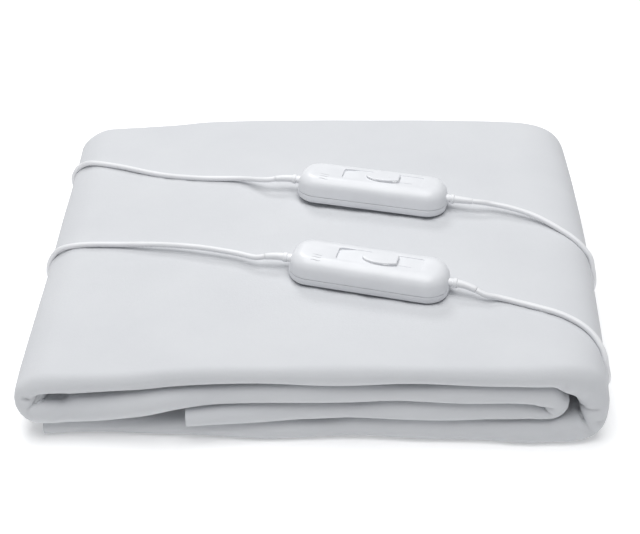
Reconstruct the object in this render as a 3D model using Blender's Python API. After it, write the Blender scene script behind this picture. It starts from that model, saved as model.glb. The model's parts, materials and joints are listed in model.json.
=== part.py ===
"""A folded electric heated blanket with two in-line slide controllers, in metres, +Z up.

The cloth is a strip four plies thick: its flat sheet is folded twice lengthwise, with the fold at
the front. The strip is then folded in four along X: the bottom layer runs to the right, wraps up
to the top layer, turns down at the left, and its last stretch is tucked back inside.
The origin is on the surface, under the middle of the pack.
"""

import math
from collections import namedtuple

import bmesh
import bpy
from mathutils import Matrix, Vector

MM = 0.001
GAP = 0.3 * MM  # clear space between neighbouring pieces

# The folded pack
DEPTH = 349.0 * MM  # along Y: a quarter of the cloth's 1.40 m
STATION_STEP = 18 * MM  # length of a flat stretch between two sections of the strip
FOLD_STEP = 6.5 * MM  # the same inside a fold
FACE_ROWS = 5  # points across each broad face of the strip
FRONT_POINTS = 6  # points round the front fold
PLY_SLOT = 13 * MM  # how deep the plies part at the back edge
PLY_GAPE = 0.55 * MM  # half of their opening at the very edge
DROOP = 0.015  # how far the back corners of the pack sink, as a share of their height
BACK_FALL = 0.018  # how much lower the pack is at the back than at the front
CROWN = 0.028  # how much its middle stands up
WRAP_BULGE = 8.5 * MM  # how far the right wrap stands out between its corners
WRAP_BULGE_Y = 80.0 * MM  # and where it does most
FOLD_PINCH = 1.5 * MM  # how far the left fold is drawn in between its corners

# The strip's middle line seen from the front, and its section there, all in millimetres.
# half is half its thickness, front how far the front fold stands out, back how far the back edge
# is drawn in, turn 1 where the strip is inside a fold.
Station = namedtuple("Station", "x z half front back turn")
STRIP = [
    Station(-197.0, 7.0, 7.0, -1.0, 7.0, 0),  # bottom layer, from its cut end
    Station(-150.0, 7.1, 7.1, -3.0, 5.0, 0),
    Station(-100.0, 7.5, 7.5, -1.0, 4.0, 0),
    Station(-60.0, 7.9, 7.9, 0.5, 3.0, 0),
    Station(0.0, 8.0, 8.0, 0.0, 3.0, 0),
    Station(70.0, 8.0, 8.0, 0.0, 3.0, 0),
    Station(120.0, 8.1, 8.1, 1.0, 3.0, 0),
    Station(152.0, 8.2, 8.2, 3.5, 4.0, 0),
    Station(172.0, 8.3, 8.2, 3.0, 6.0, 1),
    Station(189.0, 8.8, 8.7, 2.5, 9.0, 1),  # right wrap, bunched up
    Station(201.2, 13.8, 10.4, 1.0, 11.0, 1),
    Station(203.8, 26.8, 10.2, -1.0, 12.0, 1),
    Station(201.4, 41.0, 10.2, -2.0, 11.0, 1),
    Station(194.5, 52.6, 10.2, -1.5, 8.0, 1),
    Station(180.0, 58.6, 9.0, -1.0, 4.0, 1),
    Station(155.0, 59.6, 8.1, 0.0, 1.5, 0),  # top layer
    Station(100.0, 59.2, 8.0, 0.0, 0.0, 0),
    Station(30.0, 58.7, 8.0, 0.0, 0.0, 0),
    Station(-40.0, 57.9, 8.0, 0.0, 0.0, 0),
    Station(-96.0, 55.6, 8.0, 0.5, 0.5, 0),
    Station(-126.0, 52.4, 8.0, 1.0, 1.0, 0),
    Station(-155.0, 49.7, 8.1, 1.0, 0.5, 0),
    Station(-177.0, 48.2, 8.5, 1.0, 0.5, 1),  # left fold
    Station(-193.2, 45.4, 9.8, 1.0, 0.5, 1),
    Station(-204.8, 34.6, 12.0, 1.5, 2.0, 1),
    Station(-200.0, 26.0, 11.8, 4.0, 6.0, 1),
    Station(-176.0, 26.2, 11.2, 4.5, 6.0, 1),
    Station(-152.0, 27.6, 11.2, 5.0, 6.0, 0),  # second layer, loose and sagging at the left
    Station(-126.0, 31.9, 10.3, 5.0, 5.0, 0),
    Station(-97.0, 38.2, 8.3, 4.0, 5.0, 0),
    Station(-60.0, 40.8, 7.9, 1.5, 5.0, 0),
    Station(0.0, 41.8, 7.9, 0.0, 5.0, 0),
    Station(80.0, 42.1, 7.9, 0.0, 5.0, 0),
    Station(148.0, 42.1, 7.9, 0.0, 6.0, 0),
    Station(166.0, 41.7, 7.9, 0.0, 7.0, 1),  # inner fold
    Station(173.6, 38.4, 7.9, -0.5, 8.0, 1),
    Station(176.0, 33.4, 7.9, -1.0, 9.0, 1),
    Station(173.6, 28.4, 7.9, -0.5, 8.0, 1),
    Station(166.0, 25.1, 7.9, 0.0, 7.0, 1),
    Station(148.0, 24.9, 7.9, 0.0, 6.0, 0),  # third layer
    Station(70.0, 24.9, 7.9, 0.0, 5.0, 0),
    Station(0.0, 24.8, 7.9, 0.0, 5.0, 0),
    Station(-50.0, 24.2, 7.7, 2.5, 5.0, 0),
    Station(-91.5, 22.4, 6.7, 6.0, 6.0, 0),
]
PACK_HALF_X = 215.0 * MM
ORIGIN_X = -3.27 * MM  # moves everything so that the pack's middle is over the origin
ORIGIN_Y = 2.83 * MM

# The controllers, two alike
SHELL_LENGTH = 123.5 * MM
SHELL_WIDTH = 41.0 * MM
SHELL_HEIGHT = 21.0 * MM
SHELL_CORNER = 17.0 * MM  # corner radius seen from above
BASE_HEIGHT = 6.5 * MM  # lower shell, up to the parting line
BASE_EDGE = 3.0 * MM  # its lower edge's rounding
COVER_EDGE = 8.5 * MM  # upper shell's rounding
CORNER_POINTS = 8
TRACK_WIDTH = 15.6 * MM
TRACK_CORNER = 2.5 * MM
TRACK_DEPTH = 1.8 * MM
TRACK_CENTRE = 8.0 * MM  # from the shell's middle towards the mains end
KNOB_LENGTH = 27.5 * MM
KNOB_WIDTH = 14.8 * MM
KNOB_HEIGHT = 4.8 * MM
# Its outline from the foot up over the rim into the hollow: share of the height, inset in mm
KNOB_PROFILE = ((0.0, 0.4), (0.25, 0.0), (0.62, 0.1), (0.88, 0.9), (1.0, 2.4), (0.9, 4.2), (0.83, 5.8))
KNOB_TRAVEL = 15.0 * MM  # each way from the middle, over settings 0 to 3
TRACK_LENGTH = KNOB_LENGTH + 2 * KNOB_TRAVEL + 8.5 * MM

# Cords
CORD = 4.4 * MM  # diameter of the leads
CORD_HEIGHT = 9.5 * MM  # where they leave a shell, over its underside
CORD_STEP = 11 * MM  # between two points of a lead
STRAIGHT = 7 * MM  # of each lead at its ends
COLLAR = 5.5 * MM  # the stiff part of a strain relief at the shell
# Its two ribs: distance from the shell and radius, in mm
COLLAR_RIBS = ((0.0, 4.6), (1.6, 4.6), (1.9, 3.5), (3.2, 3.5), (3.5, 4.4), (5.2, 4.4), (5.5, 3.2))
TAPER = 14.5 * MM  # and the bending part after it
TAPER_END = 2.55 * MM  # its radius where the cord comes out

Control = namedtuple("Control", "name x y turn roll")
CONTROLS = [
    Control("front", 41.0, -70.5, -13.5, -1.5),
    Control("rear", 45.0, 39.0, -12.0, -5.0),
]

# How far the cord has pulled the tip of each strain relief down, and towards the viewer
Relief = namedtuple("Relief", "name control side droop sway")
RELIEFS = [
    Relief("relief_mains_front", 0, 1, 2.2, 1.6),
    Relief("relief_blanket_front", 0, -1, 1.4, 1.2),
    Relief("relief_mains_rear", 1, 1, 0.2, -0.6),
    Relief("relief_blanket_rear", 1, -1, 1.4, 1.2),
]

# The leads' routes from their strain reliefs, point by point in millimetres
BLANKET_FRONT = [
    (-62.5, -43.6, 74.0),
    (-91.0, -35.0, 72.8),
    (-123.0, -25.6, 68.3),
    (-156.0, -18.3, 62.8),
    (-187.0, -16.0, 60.4),
    (-204.6, -14.8, 55.5),
    (-213.4, -14.0, 48.0),
    (-217.9, -13.4, 39.0),
    (-219.4, -13.0, 31.0),
]
BLANKET_REAR = [
    (-65.8, 68.0, 69.9),
    (-100.0, 73.4, 66.4),
    (-135.5, 84.4, 62.5),
    (-172.0, 100.4, 60.0),
    (-197.9, 110.5, 57.0),
    (-207.9, 115.6, 51.6),
    (-214.4, 118.4, 45.8),
    (-218.7, 119.6, 38.0),
    (-219.7, 120.0, 31.0),
]
MAINS_FRONT = [
    (138.0, -94.6, 72.2),
    (153.0, -99.6, 71.4),
    (167.0, -105.2, 71.3),
    (181.0, -111.9, 71.3),
    (194.6, -120.2, 69.0),
    (203.9, -127.8, 64.6),
    (210.3, -136.0, 57.7),
    (214.3, -141.6, 49.5),
    (217.2, -142.0, 40.0),
    (219.3, -136.4, 28.0),
    (219.4, -126.0, 15.5),
    (217.4, -112.0, 6.4),
    (215.2, -95.0, 2.7),
    (214.4, -72.0, 2.4),
    (214.6, 0.0, 2.4),
    (215.6, 60.0, 2.4),
    (216.2, 110.0, 2.4),
    (216.0, 140.0, 2.4),
    (212.4, 161.6, 2.4),
    (193.5, 176.2, 2.4),
    (165.0, 179.2, 2.4),
    (100.0, 178.6, 2.4),
    (50.0, 178.6, 2.45),
]
MAINS_REAR = [
    (140.0, 23.0, 77.2),
    (156.0, 18.4, 76.4),
    (171.5, 11.4, 75.2),
    (183.0, 4.0, 73.6),
    (194.0, -3.8, 71.0),
    (203.4, -10.4, 67.8),
    (211.4, -16.0, 62.8),
    (218.3, -20.6, 55.0),
    (222.2, -23.6, 45.0),
    (224.2, -23.4, 34.0),
    (224.4, -18.0, 21.0),
    (223.2, -8.0, 10.4),
    (221.2, 8.0, 3.8),
    (220.0, 30.0, 2.4),
    (220.6, 60.0, 2.4),
    (221.2, 100.0, 2.4),
    (221.2, 142.0, 2.4),
    (218.0, 168.0, 2.4),
    (207.8, 190.0, 2.4),
]

# The coils behind the pack: middle, radius to the middle of the two rows of turns, way round (1
# anticlockwise), where the lead joins the outer turn and where its last stretch leaves it for the
# plug, in degrees
Coil = namedtuple("Coil", "name x y radius way joins leaves")
COILS = [
    Coil("front", 10.0, 210.0, 22.5 * MM, -1, -105.0, -110.0),
    Coil("rear", 160.0, 213.5, 26.2 * MM, 1, 31.0, 110.0),
]
TURN = 4.5 * MM  # from one turn to the next
COIL_ACROSS = 9.0 * MM  # two turns beside each other
COIL_HEIGHT = 13.5 * MM  # and three on each other
COIL_LIFT = 1.0 * MM  # it lies on its tie
COIL_SIDES = 28
TIE_WIDTH = 6.0 * MM
TIE_THICK = 0.5 * MM
TIE_SLACK = 0.5 * MM
TIE_AT = 312  # degrees round from where the lead joins
RUN_ON = 16.5 * MM  # from the outer turn to where a straight lead is clear of the coil
LAST_STRETCH = 12.0 * MM  # of cord between the coil and the plug's strain relief

# The plugs, with two round pins
PLUG_LENGTH = 34.0 * MM
PLUG_WIDTH = 35.0 * MM
PLUG_REAR_WIDTH = 15.0 * MM
PLUG_HEIGHT = 13.7 * MM
PLUG_REAR_HEIGHT = 10.5 * MM
PLUG_CORNER = 4.5 * MM
Row = namedtuple("Row", "along grown inset")  # share of the length, share of the growth, inset in mm
PLUG_PROFILE = [
    Row(0.0, 0.0, 1.2),
    Row(0.05, 0.0, 0.0),
    Row(0.25, 0.2, 0.0),
    Row(0.7, 1.0, 0.0),
    Row(0.96, 1.0, 0.0),
    Row(1.0, 1.0, 1.4),
]
PLUG_RELIEF = 20.0 * MM
PIN_LENGTH = 19.0 * MM
PIN_RADIUS = 2.0 * MM
PIN_SPACING = 18.6 * MM

# Where the blanket leads go into the cloth, at the end of its bottom layer
ENTRY_HEIGHT = 7.0 * MM
ENTRY_BEND = 20.0 * MM  # radius
ENTRY_LENGTH = 22.0 * MM
ENTRY_RADIUS = 3.9 * MM  # at the root of the taper
ENTRY_FLANGE = 2.0 * MM  # thickness
FLANGE_RADIUS = 5.5 * MM


def clear_scene():
    for old in list(bpy.data.objects):
        bpy.data.objects.remove(old, do_unlink=True)


def material(name, colour, roughness, metallic=0.0):
    made = bpy.data.materials.new(name)
    made.use_nodes = True
    shader = made.node_tree.nodes["Principled BSDF"]
    shader.inputs["Base Color"].default_value = (*colour, 1.0)
    shader.inputs["Roughness"].default_value = roughness
    shader.inputs["Metallic"].default_value = metallic
    return made


def add(made):
    bpy.context.scene.collection.objects.link(made)
    return made


def finish(name, mesh, finish_material, smooth=35):
    bmesh.ops.recalc_face_normals(mesh, faces=mesh.faces[:])
    data = bpy.data.meshes.new(name)
    mesh.to_mesh(data)
    mesh.free()
    data.shade_smooth()
    data.set_sharp_from_angle(angle=math.radians(smooth))
    data.materials.append(finish_material)
    return add(bpy.data.objects.new(name, data))


def smooth_step(value, start, end):
    t = min(max((value - start) / (end - start), 0.0), 1.0)
    return t * t * (3.0 - 2.0 * t)


def catmull(a, b, c, d, t):
    """The point at t from b to c on the smooth curve through a, b, c and d."""
    return 0.5 * (2 * b + (c - a) * t + (2 * a - 5 * b + 4 * c - d) * t * t + (3 * b - a - 3 * c + d) * t**3)


# ---------------------------------------------------------------- blanket


def strip_stations():
    """The table's rows read as one smooth curve, closer together in the folds."""
    rows = [Station(*(value * MM for value in row[:5]), row.turn) for row in STRIP]
    rows = [rows[0]] + rows + [rows[-1]]
    made = []
    for i in range(1, len(rows) - 2):
        a, b, c, d = rows[i - 1 : i + 3]
        length = math.hypot(c.x - b.x, c.z - b.z)
        steps = max(1, round(length / (FOLD_STEP if b.turn or c.turn else STATION_STEP)))
        for k in range(steps):
            made.append(Station(*(catmull(*values, k / steps) for values in zip(a, b, c, d))))
    made.append(rows[-1])
    return made


def strip_section(row):
    """The section's outline as (y, n) pairs: n is across the plies, y from front to back."""
    h = row.half
    front = -DEPTH / 2 - row.front
    back = DEPTH / 2 - row.back
    outline = []
    for k in range(5):  # first fold of the cloth, which joins the two outer plies
        angle = math.radians(-90 + 45 * k)
        n = -h / 2 + (h / 2 - PLY_GAPE) * math.sin(angle)
        outline.append((back - h / 2 + h / 2 * math.cos(angle), n))
    for centre in (0.0, h / 2):  # the slots beside the two cut edges
        outline.append((back - PLY_SLOT, centre - PLY_GAPE / 3))
        outline.append((back - PLY_SLOT, centre + PLY_GAPE / 3))
        outline.append((back - 0.6 * MM, centre + PLY_GAPE))
        outline.append((back - 0.6 * MM, centre + h / 2 - (PLY_GAPE if centre == 0.0 else 0.0)))
    for k in range(FACE_ROWS):
        t = (k + 0.5) / FACE_ROWS
        outline.append((back - PLY_SLOT + (front + h - back + PLY_SLOT) * t, h))
    for k in range(FRONT_POINTS):
        angle = math.pi * (k + 0.5) / FRONT_POINTS
        outline.append((front + h - h * math.sin(angle), h * math.cos(angle)))
    for k in range(FACE_ROWS):
        t = 1 - (k + 0.5) / FACE_ROWS
        outline.append((back - h / 2 + (front + h - back + h / 2) * t, -h))
    return outline


def bulge(x, y, lifted):
    """Seen from above, the right wrap bulges between its corners and the left fold is drawn in."""
    wrap = smooth_step(x, 150 * MM, 200 * MM) * (1 - ((y - WRAP_BULGE_Y) / (DEPTH / 2 + WRAP_BULGE_Y)) ** 2)
    fold = smooth_step(-x, 150 * MM, 200 * MM) * (1 - (2 * y / DEPTH) ** 2) * lifted
    return x + WRAP_BULGE * wrap + FOLD_PINCH * fold


def settle(x, y, z):
    """The pack's own unevenness: its middle is a little crowned, and it falls off to the back."""
    corner = smooth_step(abs(x), 140 * MM, PACK_HALF_X) * smooth_step(y, 90 * MM, DEPTH / 2)
    fall = BACK_FALL * smooth_step(y, -DEPTH / 4, DEPTH / 2)
    crown = CROWN * (1 - smooth_step(abs(y), 0.0, DEPTH / 2))
    return z * (1 - DROOP * corner - fall + crown)


def strip_normal(stations, i):
    """The unit vector across the plies, towards the inside of the wrap."""
    before, after = stations[max(i - 1, 0)], stations[min(i + 1, len(stations) - 1)]
    along = Vector((after.x - before.x, after.z - before.z)).normalized()
    return Vector((-along.y, along.x))


def make_blanket(cloth):
    mesh = bmesh.new()
    stations = strip_stations()
    rings = []
    for i, row in enumerate(stations):
        normal = strip_normal(stations, i)
        lifted = row.z > 2 * row.half
        ring = []
        for y, n in strip_section(row):
            x = row.x + normal.x * n
            z = max(row.z + normal.y * n, 0.0)
            if z < 0.5 * MM:
                z = 0.0  # the pack stands flat on its underside
            ring.append(mesh.verts.new((bulge(x, y, lifted), y, settle(x, y, z))))
        rings.append(ring)
    for first, second in zip(rings, rings[1:]):
        for k in range(len(first)):
            mesh.faces.new((first[k - 1], first[k], second[k], second[k - 1]))
    mesh.faces.new(rings[0])
    mesh.faces.new(rings[-1])
    bmesh.ops.triangulate(mesh, faces=mesh.faces[:])
    return finish("blanket", mesh, cloth)


def top_height(x, y):
    """Height of the blanket's upper face at a point of its top layer."""
    top = [row for row in strip_stations() if row.z > 46 * MM]
    for a, b in zip(top, top[1:]):
        if b.x <= x <= a.x:
            t = (x - a.x) / (b.x - a.x)
            return settle(x, y, a.z + a.half + (b.z + b.half - a.z - a.half) * t)
    raise ValueError("not over the top layer")


# ---------------------------------------------------------------- controllers


def rounded_outline(length, width, corner, inset=0.0, points=CORNER_POINTS):
    """A rounded rectangle about the origin, counter-clockwise, with so many points a corner."""
    corner = max(corner - inset, 0.2 * MM)
    half_x, half_y = length / 2 - inset - corner, width / 2 - inset - corner
    outline = []
    for quarter, (to_x, to_y) in enumerate(((1, 1), (-1, 1), (-1, -1), (1, -1))):
        cx, cy = to_x * half_x, to_y * half_y
        for k in range(points):
            angle = math.radians(90 * (quarter + k / (points - 1)))
            outline.append((cx + corner * math.cos(angle), cy + corner * math.sin(angle)))
    return outline


def stack(mesh, levels):
    """Closed loops of points joined one over the other, with both ends filled."""
    loops = [[mesh.verts.new(point) for point in level] for level in levels]
    for low, high in zip(loops, loops[1:]):
        for k in range(len(low)):
            mesh.faces.new((low[k - 1], low[k], high[k], high[k - 1]))
    mesh.faces.new(list(reversed(loops[0])))
    mesh.faces.new(loops[-1])


def level(outline, z):
    return [(x, y, z) for x, y in outline]


def shell_level(z, inset):
    return level(rounded_outline(SHELL_LENGTH, SHELL_WIDTH, SHELL_CORNER, inset), z)


def track_level(z, inset):
    outline = rounded_outline(TRACK_LENGTH, TRACK_WIDTH, TRACK_CORNER, inset)
    return level([(x + TRACK_CENTRE, y) for x, y in outline], z)


def make_base(name, plastic):
    mesh = bmesh.new()
    levels = []
    for k in range(4):
        angle = math.radians(30 * k)
        levels.append(shell_level(BASE_EDGE * (1 - math.cos(angle)), BASE_EDGE * (1 - math.sin(angle))))
    levels.append(shell_level(BASE_HEIGHT, 0.0))
    stack(mesh, levels)
    return finish(name, mesh, plastic)


def make_cover(name, plastic):
    mesh = bmesh.new()
    levels = [shell_level(BASE_HEIGHT + GAP, 0.0)]
    for k in range(6):
        angle = math.radians(15 * k)
        rise = SHELL_HEIGHT - COVER_EDGE + COVER_EDGE * math.sin(angle)
        levels.append(shell_level(rise, COVER_EDGE * (1 - math.cos(angle))))
    levels.append(track_level(SHELL_HEIGHT, 0.0))
    levels.append(track_level(SHELL_HEIGHT - TRACK_DEPTH, 0.4 * MM))
    stack(mesh, levels)
    return finish(name, mesh, plastic)


def make_knob(name, plastic):
    """An oval button with a shallow finger hollow, on the foot that slides in the track."""
    mesh = bmesh.new()
    foot = SHELL_HEIGHT - TRACK_DEPTH + GAP
    levels = []
    for share, inset in KNOB_PROFILE:
        outline = rounded_outline(KNOB_LENGTH, KNOB_WIDTH, KNOB_WIDTH / 2 - 0.1 * MM, inset * MM)
        levels.append(level(outline, foot + share * KNOB_HEIGHT))
    stack(mesh, levels)
    made = finish(name, mesh, plastic)
    made.location.x = TRACK_CENTRE
    return made


def swept(name, rows, finish_material, sides=12):
    """A round solid along a path, from (point, direction, radius) rows."""
    mesh = bmesh.new()
    levels = []
    for point, along, radius in rows:
        turn = Vector((1.0, 0.0, 0.0)).rotation_difference(along)
        ring = []
        for k in range(sides):
            angle = 2 * math.pi * k / sides
            ring.append(point + turn @ Vector((0.0, radius * math.cos(angle), radius * math.sin(angle))))
        levels.append(ring)
    stack(mesh, levels)
    return finish(name, mesh, finish_material)


def relief_row(relief, s):
    """Middle line of a strain relief, s from the shell, in the controller's own axes."""
    t = max(s - COLLAR, 0.0) / TAPER
    side, sway, droop = relief.side, relief.sway * MM, relief.droop * MM
    x = SHELL_LENGTH / 2 + GAP + s
    point = Vector((side * x, -sway * t * t, CORD_HEIGHT - droop * t * t))
    along = Vector((side, -2 * sway * t / TAPER, -2 * droop * t / TAPER)).normalized()
    return point, along


def make_relief(relief, rubber):
    """A ribbed collar at the shell and a taper down to the cord."""
    profile = [(s * MM, radius * MM) for s, radius in COLLAR_RIBS]
    root = profile[-1][1]
    for k in range(1, 5):
        profile.append((COLLAR + TAPER * k / 4, root + (TAPER_END - root) * k / 4))
    return swept(relief.name, [(*relief_row(relief, s), radius) for s, radius in profile], rubber)


def control_place(control):
    """Where a controller lies on the top layer: turned, and rolled with the cloth under it."""
    x, y = control.x * MM, control.y * MM
    turn, roll = math.radians(control.turn), math.radians(control.roll)
    flat = Matrix.Rotation(turn, 3, "Z") @ Matrix.Rotation(roll, 3, "X")
    reach_x, reach_y = SHELL_LENGTH / 2 - 14 * MM, SHELL_WIDTH / 2 - BASE_EDGE
    lift = 0.0
    for across in (-1.0, 0.0, 1.0):
        for along in (-1.0, -0.5, 0.0, 0.5, 1.0):
            under = flat @ Vector((along * reach_x, across * reach_y, 0.0))
            lift = max(lift, top_height(x + under.x, y + under.y) - under.z)
    place = flat.to_4x4()
    place.translation = (x, y, lift + GAP)
    return place


def make_control(control, place, white):
    holder = add(bpy.data.objects.new("place_" + control.name, None))
    holder.matrix_world = place
    pieces = [
        make_base(f"base_{control.name}", white),
        make_cover(f"cover_{control.name}", white),
        make_knob(f"knob_{control.name}", white),
    ]
    for piece in pieces:
        piece.parent = holder
    return holder


# ---------------------------------------------------------------- cords


def through(start, first, points, end, last):
    """Points a step apart on a smooth curve through the route, from one direction to another."""
    route = [start, start + first * STRAIGHT]
    route += [Vector(point) * MM for point in points]
    route += [end - last * STRAIGHT, end]
    units = [first]
    for before, after in zip(route, route[2:]):
        units.append((after - before).normalized())
    units.append(last)
    made = [route[0]]
    for i in range(len(route) - 1):
        a, b = route[i], route[i + 1]
        length = (b - a).length
        steps = max(1, round(length / CORD_STEP))
        for k in range(1, steps + 1):
            t = k / steps
            bend_a = units[i] * (t**3 - 2 * t**2 + t) * length
            bend_b = units[i + 1] * (t**3 - t**2) * length
            made.append(a * (2 * t**3 - 3 * t**2 + 1) + b * (3 * t**2 - 2 * t**3) + bend_a + bend_b)
    return made


def make_tube(name, points, rubber):
    data = bpy.data.curves.new(name, "CURVE")
    data.dimensions = "3D"
    data.bevel_depth = CORD / 2
    data.bevel_resolution = 2
    data.use_fill_caps = True
    line = data.splines.new("POLY")
    line.points.add(len(points) - 1)
    for place, point in zip(line.points, points):
        place.co = (*point, 1.0)
    data.materials.append(rubber)
    return add(bpy.data.objects.new(name, data))


def on_turn(coil, degrees):
    """Point and direction of travel of the cord on the coil's outer turn."""
    angle = math.radians(degrees)
    radius = coil.radius + TURN / 2
    point = Vector((coil.x * MM + radius * math.cos(angle), coil.y * MM + radius * math.sin(angle), 0.0))
    return point, coil.way * Vector((-math.sin(angle), math.cos(angle), 0.0))


def joining(coil):
    point, along = on_turn(coil, coil.joins)
    return point - along * RUN_ON + Vector((0, 0, COIL_LIFT + TURN / 2)), along


def leaving(coil):
    point, along = on_turn(coil, coil.leaves)
    return point + along * RUN_ON + Vector((0, 0, PLUG_HEIGHT / 2)), along


def entry_row(y, s):
    """Middle line of the strain relief at the cloth: out of its cut end, then bending up."""
    angle = s / ENTRY_BEND
    x = STRIP[0].x * MM - GAP - ENTRY_BEND * math.sin(angle)
    point = Vector((x, y, ENTRY_HEIGHT + ENTRY_BEND * (1 - math.cos(angle))))
    return point, Vector((-math.cos(angle), 0.0, math.sin(angle)))


def make_entry(name, y, rubber):
    """A round flange sewn to the end of the cloth, with a taper that bends up to the cord."""
    rows = [(*entry_row(y, 0.0), FLANGE_RADIUS), (*entry_row(y, ENTRY_FLANGE), FLANGE_RADIUS)]
    root = ENTRY_FLANGE + 0.2 * MM
    for k in range(7):
        s = root + (ENTRY_LENGTH - root) * k / 6
        rows.append((*entry_row(y, s), ENTRY_RADIUS + (TAPER_END - ENTRY_RADIUS) * k / 6))
    return swept(name, rows, rubber)


def start_of(place, relief):
    point, along = relief_row(relief, COLLAR + TAPER)
    along = place.to_3x3() @ along
    return place @ point + along * GAP, along


def make_blanket_lead(name, place, relief, points, rubber):
    start, along = start_of(place, relief)
    y = points[-1][1] * MM
    make_entry("entry_" + name, y, rubber)
    end, outwards = entry_row(y, ENTRY_LENGTH)
    line = through(start, along, points, end + outwards * GAP, -outwards)
    make_tube("lead_" + name, line, rubber)


def make_mains_lead(coil, place, relief, points, rubber):
    start, along = start_of(place, relief)
    end, inwards = joining(coil)
    make_tube("mains_" + coil.name, through(start, along, points, end, inwards), rubber)
    begin, onwards = leaving(coil)
    last = [begin + onwards * LAST_STRETCH * k / 2 for k in range(3)]
    make_tube("tail_" + coil.name, last, rubber)


def make_coil(coil, rubber):
    """The outer shape of the wound turns: a ring with rounded edges."""
    mesh = bmesh.new()
    section = rounded_outline(COIL_ACROSS, COIL_HEIGHT, CORD / 2, points=3)
    loops = []
    for k in range(COIL_SIDES):
        turn = Matrix.Rotation(2 * math.pi * k / COIL_SIDES, 3, "Z")
        loop = [turn @ Vector((coil.radius + across, 0.0, up + COIL_HEIGHT / 2)) for across, up in section]
        loops.append([mesh.verts.new(point) for point in loop])
    for k, loop in enumerate(loops):
        before = loops[k - 1]
        for j in range(len(loop)):
            mesh.faces.new((before[j - 1], before[j], loop[j], loop[j - 1]))
    made = finish("coil_" + coil.name, mesh, rubber)
    made.location = (coil.x * MM, coil.y * MM, COIL_LIFT)
    return made


def make_tie(coil, strap):
    """A flat strap round the turns."""
    mesh = bmesh.new()
    rings = []
    for spare in (TIE_SLACK, TIE_SLACK + TIE_THICK):
        across, up = COIL_ACROSS + 2 * spare, COIL_HEIGHT + 2 * spare
        outline = rounded_outline(across, up, CORD / 2 + spare, points=4)
        for along in (-TIE_WIDTH / 2, TIE_WIDTH / 2):
            rings.append([mesh.verts.new((across, along, up)) for across, up in outline])
    inner_a, inner_b, outer_a, outer_b = rings
    for a, b in ((inner_b, inner_a), (outer_a, outer_b), (inner_a, outer_a), (outer_b, inner_b)):
        for k in range(len(a)):
            mesh.faces.new((a[k - 1], a[k], b[k], b[k - 1]))
    made = finish("tie_" + coil.name, mesh, strap)
    turn = math.radians(coil.joins + coil.way * TIE_AT)
    reach_x, reach_y = coil.radius * math.cos(turn), coil.radius * math.sin(turn)
    made.location = (coil.x * MM + reach_x, coil.y * MM + reach_y, COIL_LIFT + COIL_HEIGHT / 2)
    made.rotation_euler.z = turn
    return made


def make_plug(coil, rubber, metal):
    """Its body widens from the strain relief to the face with the pins."""
    begin, onwards = leaving(coil)
    holder = add(bpy.data.objects.new("place_plug_" + coil.name, None))
    holder.location = begin + onwards * (LAST_STRETCH + GAP)
    holder.rotation_euler.z = math.atan2(onwards.y, onwards.x)
    ahead = Vector((1.0, 0.0, 0.0))
    profile = ((0.0, TAPER_END), (PLUG_RELIEF * 0.6, 3.2 * MM), (PLUG_RELIEF, 4.0 * MM))
    relief = swept(f"relief_plug_{coil.name}", [(ahead * x, ahead, radius) for x, radius in profile], rubber)
    mesh = bmesh.new()
    levels = []
    for row in PLUG_PROFILE:
        width = PLUG_REAR_WIDTH + (PLUG_WIDTH - PLUG_REAR_WIDTH) * row.grown
        height = PLUG_REAR_HEIGHT + (PLUG_HEIGHT - PLUG_REAR_HEIGHT) * row.grown
        outline = rounded_outline(width, height, PLUG_CORNER, row.inset * MM, points=4)
        levels.append([(PLUG_LENGTH * row.along, across, up) for across, up in outline])
    stack(mesh, levels)
    body = finish("plug_" + coil.name, mesh, rubber)
    body.location.x = PLUG_RELIEF + GAP
    pins = []
    for which, side in (("a", -1), ("b", 1)):
        profile = ((0.0, 1.0), (PIN_LENGTH - 1.2 * MM, 1.0), (PIN_LENGTH - 0.4 * MM, 0.8), (PIN_LENGTH, 0.45))
        rows = [(ahead * x, ahead, PIN_RADIUS * share) for x, share in profile]
        pin = swept(f"pin_{which}_{coil.name}", rows, metal)
        pin.location = (PLUG_RELIEF + PLUG_LENGTH + 2 * GAP, side * PIN_SPACING / 2, 0.0)
        pins.append(pin)
    for piece in [relief, body, *pins]:
        piece.parent = holder


def main():
    clear_scene()
    cloth = material("cloth", (0.76, 0.77, 0.79), 0.95)
    white = material("white plastic", (0.86, 0.87, 0.89), 0.35)
    rubber = material("cord plastic", (0.82, 0.83, 0.85), 0.45)
    strap = material("strap", (0.85, 0.85, 0.85), 0.7)
    metal = material("plated brass", (0.78, 0.77, 0.74), 0.25, metallic=1.0)
    make_blanket(cloth)
    places = [control_place(control) for control in CONTROLS]
    for control, place in zip(CONTROLS, places):
        make_control(control, place, white)
    for relief in RELIEFS:
        made = make_relief(relief, rubber)
        made.matrix_world = places[relief.control]
    routes = ((MAINS_FRONT, BLANKET_FRONT), (MAINS_REAR, BLANKET_REAR))
    for i, coil in enumerate(COILS):
        make_mains_lead(coil, places[i], RELIEFS[2 * i], routes[i][0], rubber)
        make_blanket_lead(coil.name, places[i], RELIEFS[2 * i + 1], routes[i][1], rubber)
        make_coil(coil, rubber)
        make_tie(coil, strap)
        make_plug(coil, rubber, metal)
    origin = add(bpy.data.objects.new("origin", None))
    for made in bpy.data.objects:
        if made.parent is None and made != origin:
            made.parent = origin
    origin.location = (ORIGIN_X, ORIGIN_Y, 0.0)


main()
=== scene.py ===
# %% [markdown]
# # A folded electric heated blanket
#
# The object is a double-size heated underblanket, folded into a flat pack, with its two slide
# controllers lying on top. Each controller has one lead that goes into the cloth at the left and
# one that runs down the right side to a coil and a plug behind the pack.
#
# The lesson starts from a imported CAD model, which fixes every size and place. Here each part gets
# its real shape and finish around that frame, and nothing of the frame is moved.

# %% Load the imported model
import json
import math
from bisect import bisect_right
from collections import namedtuple

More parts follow.
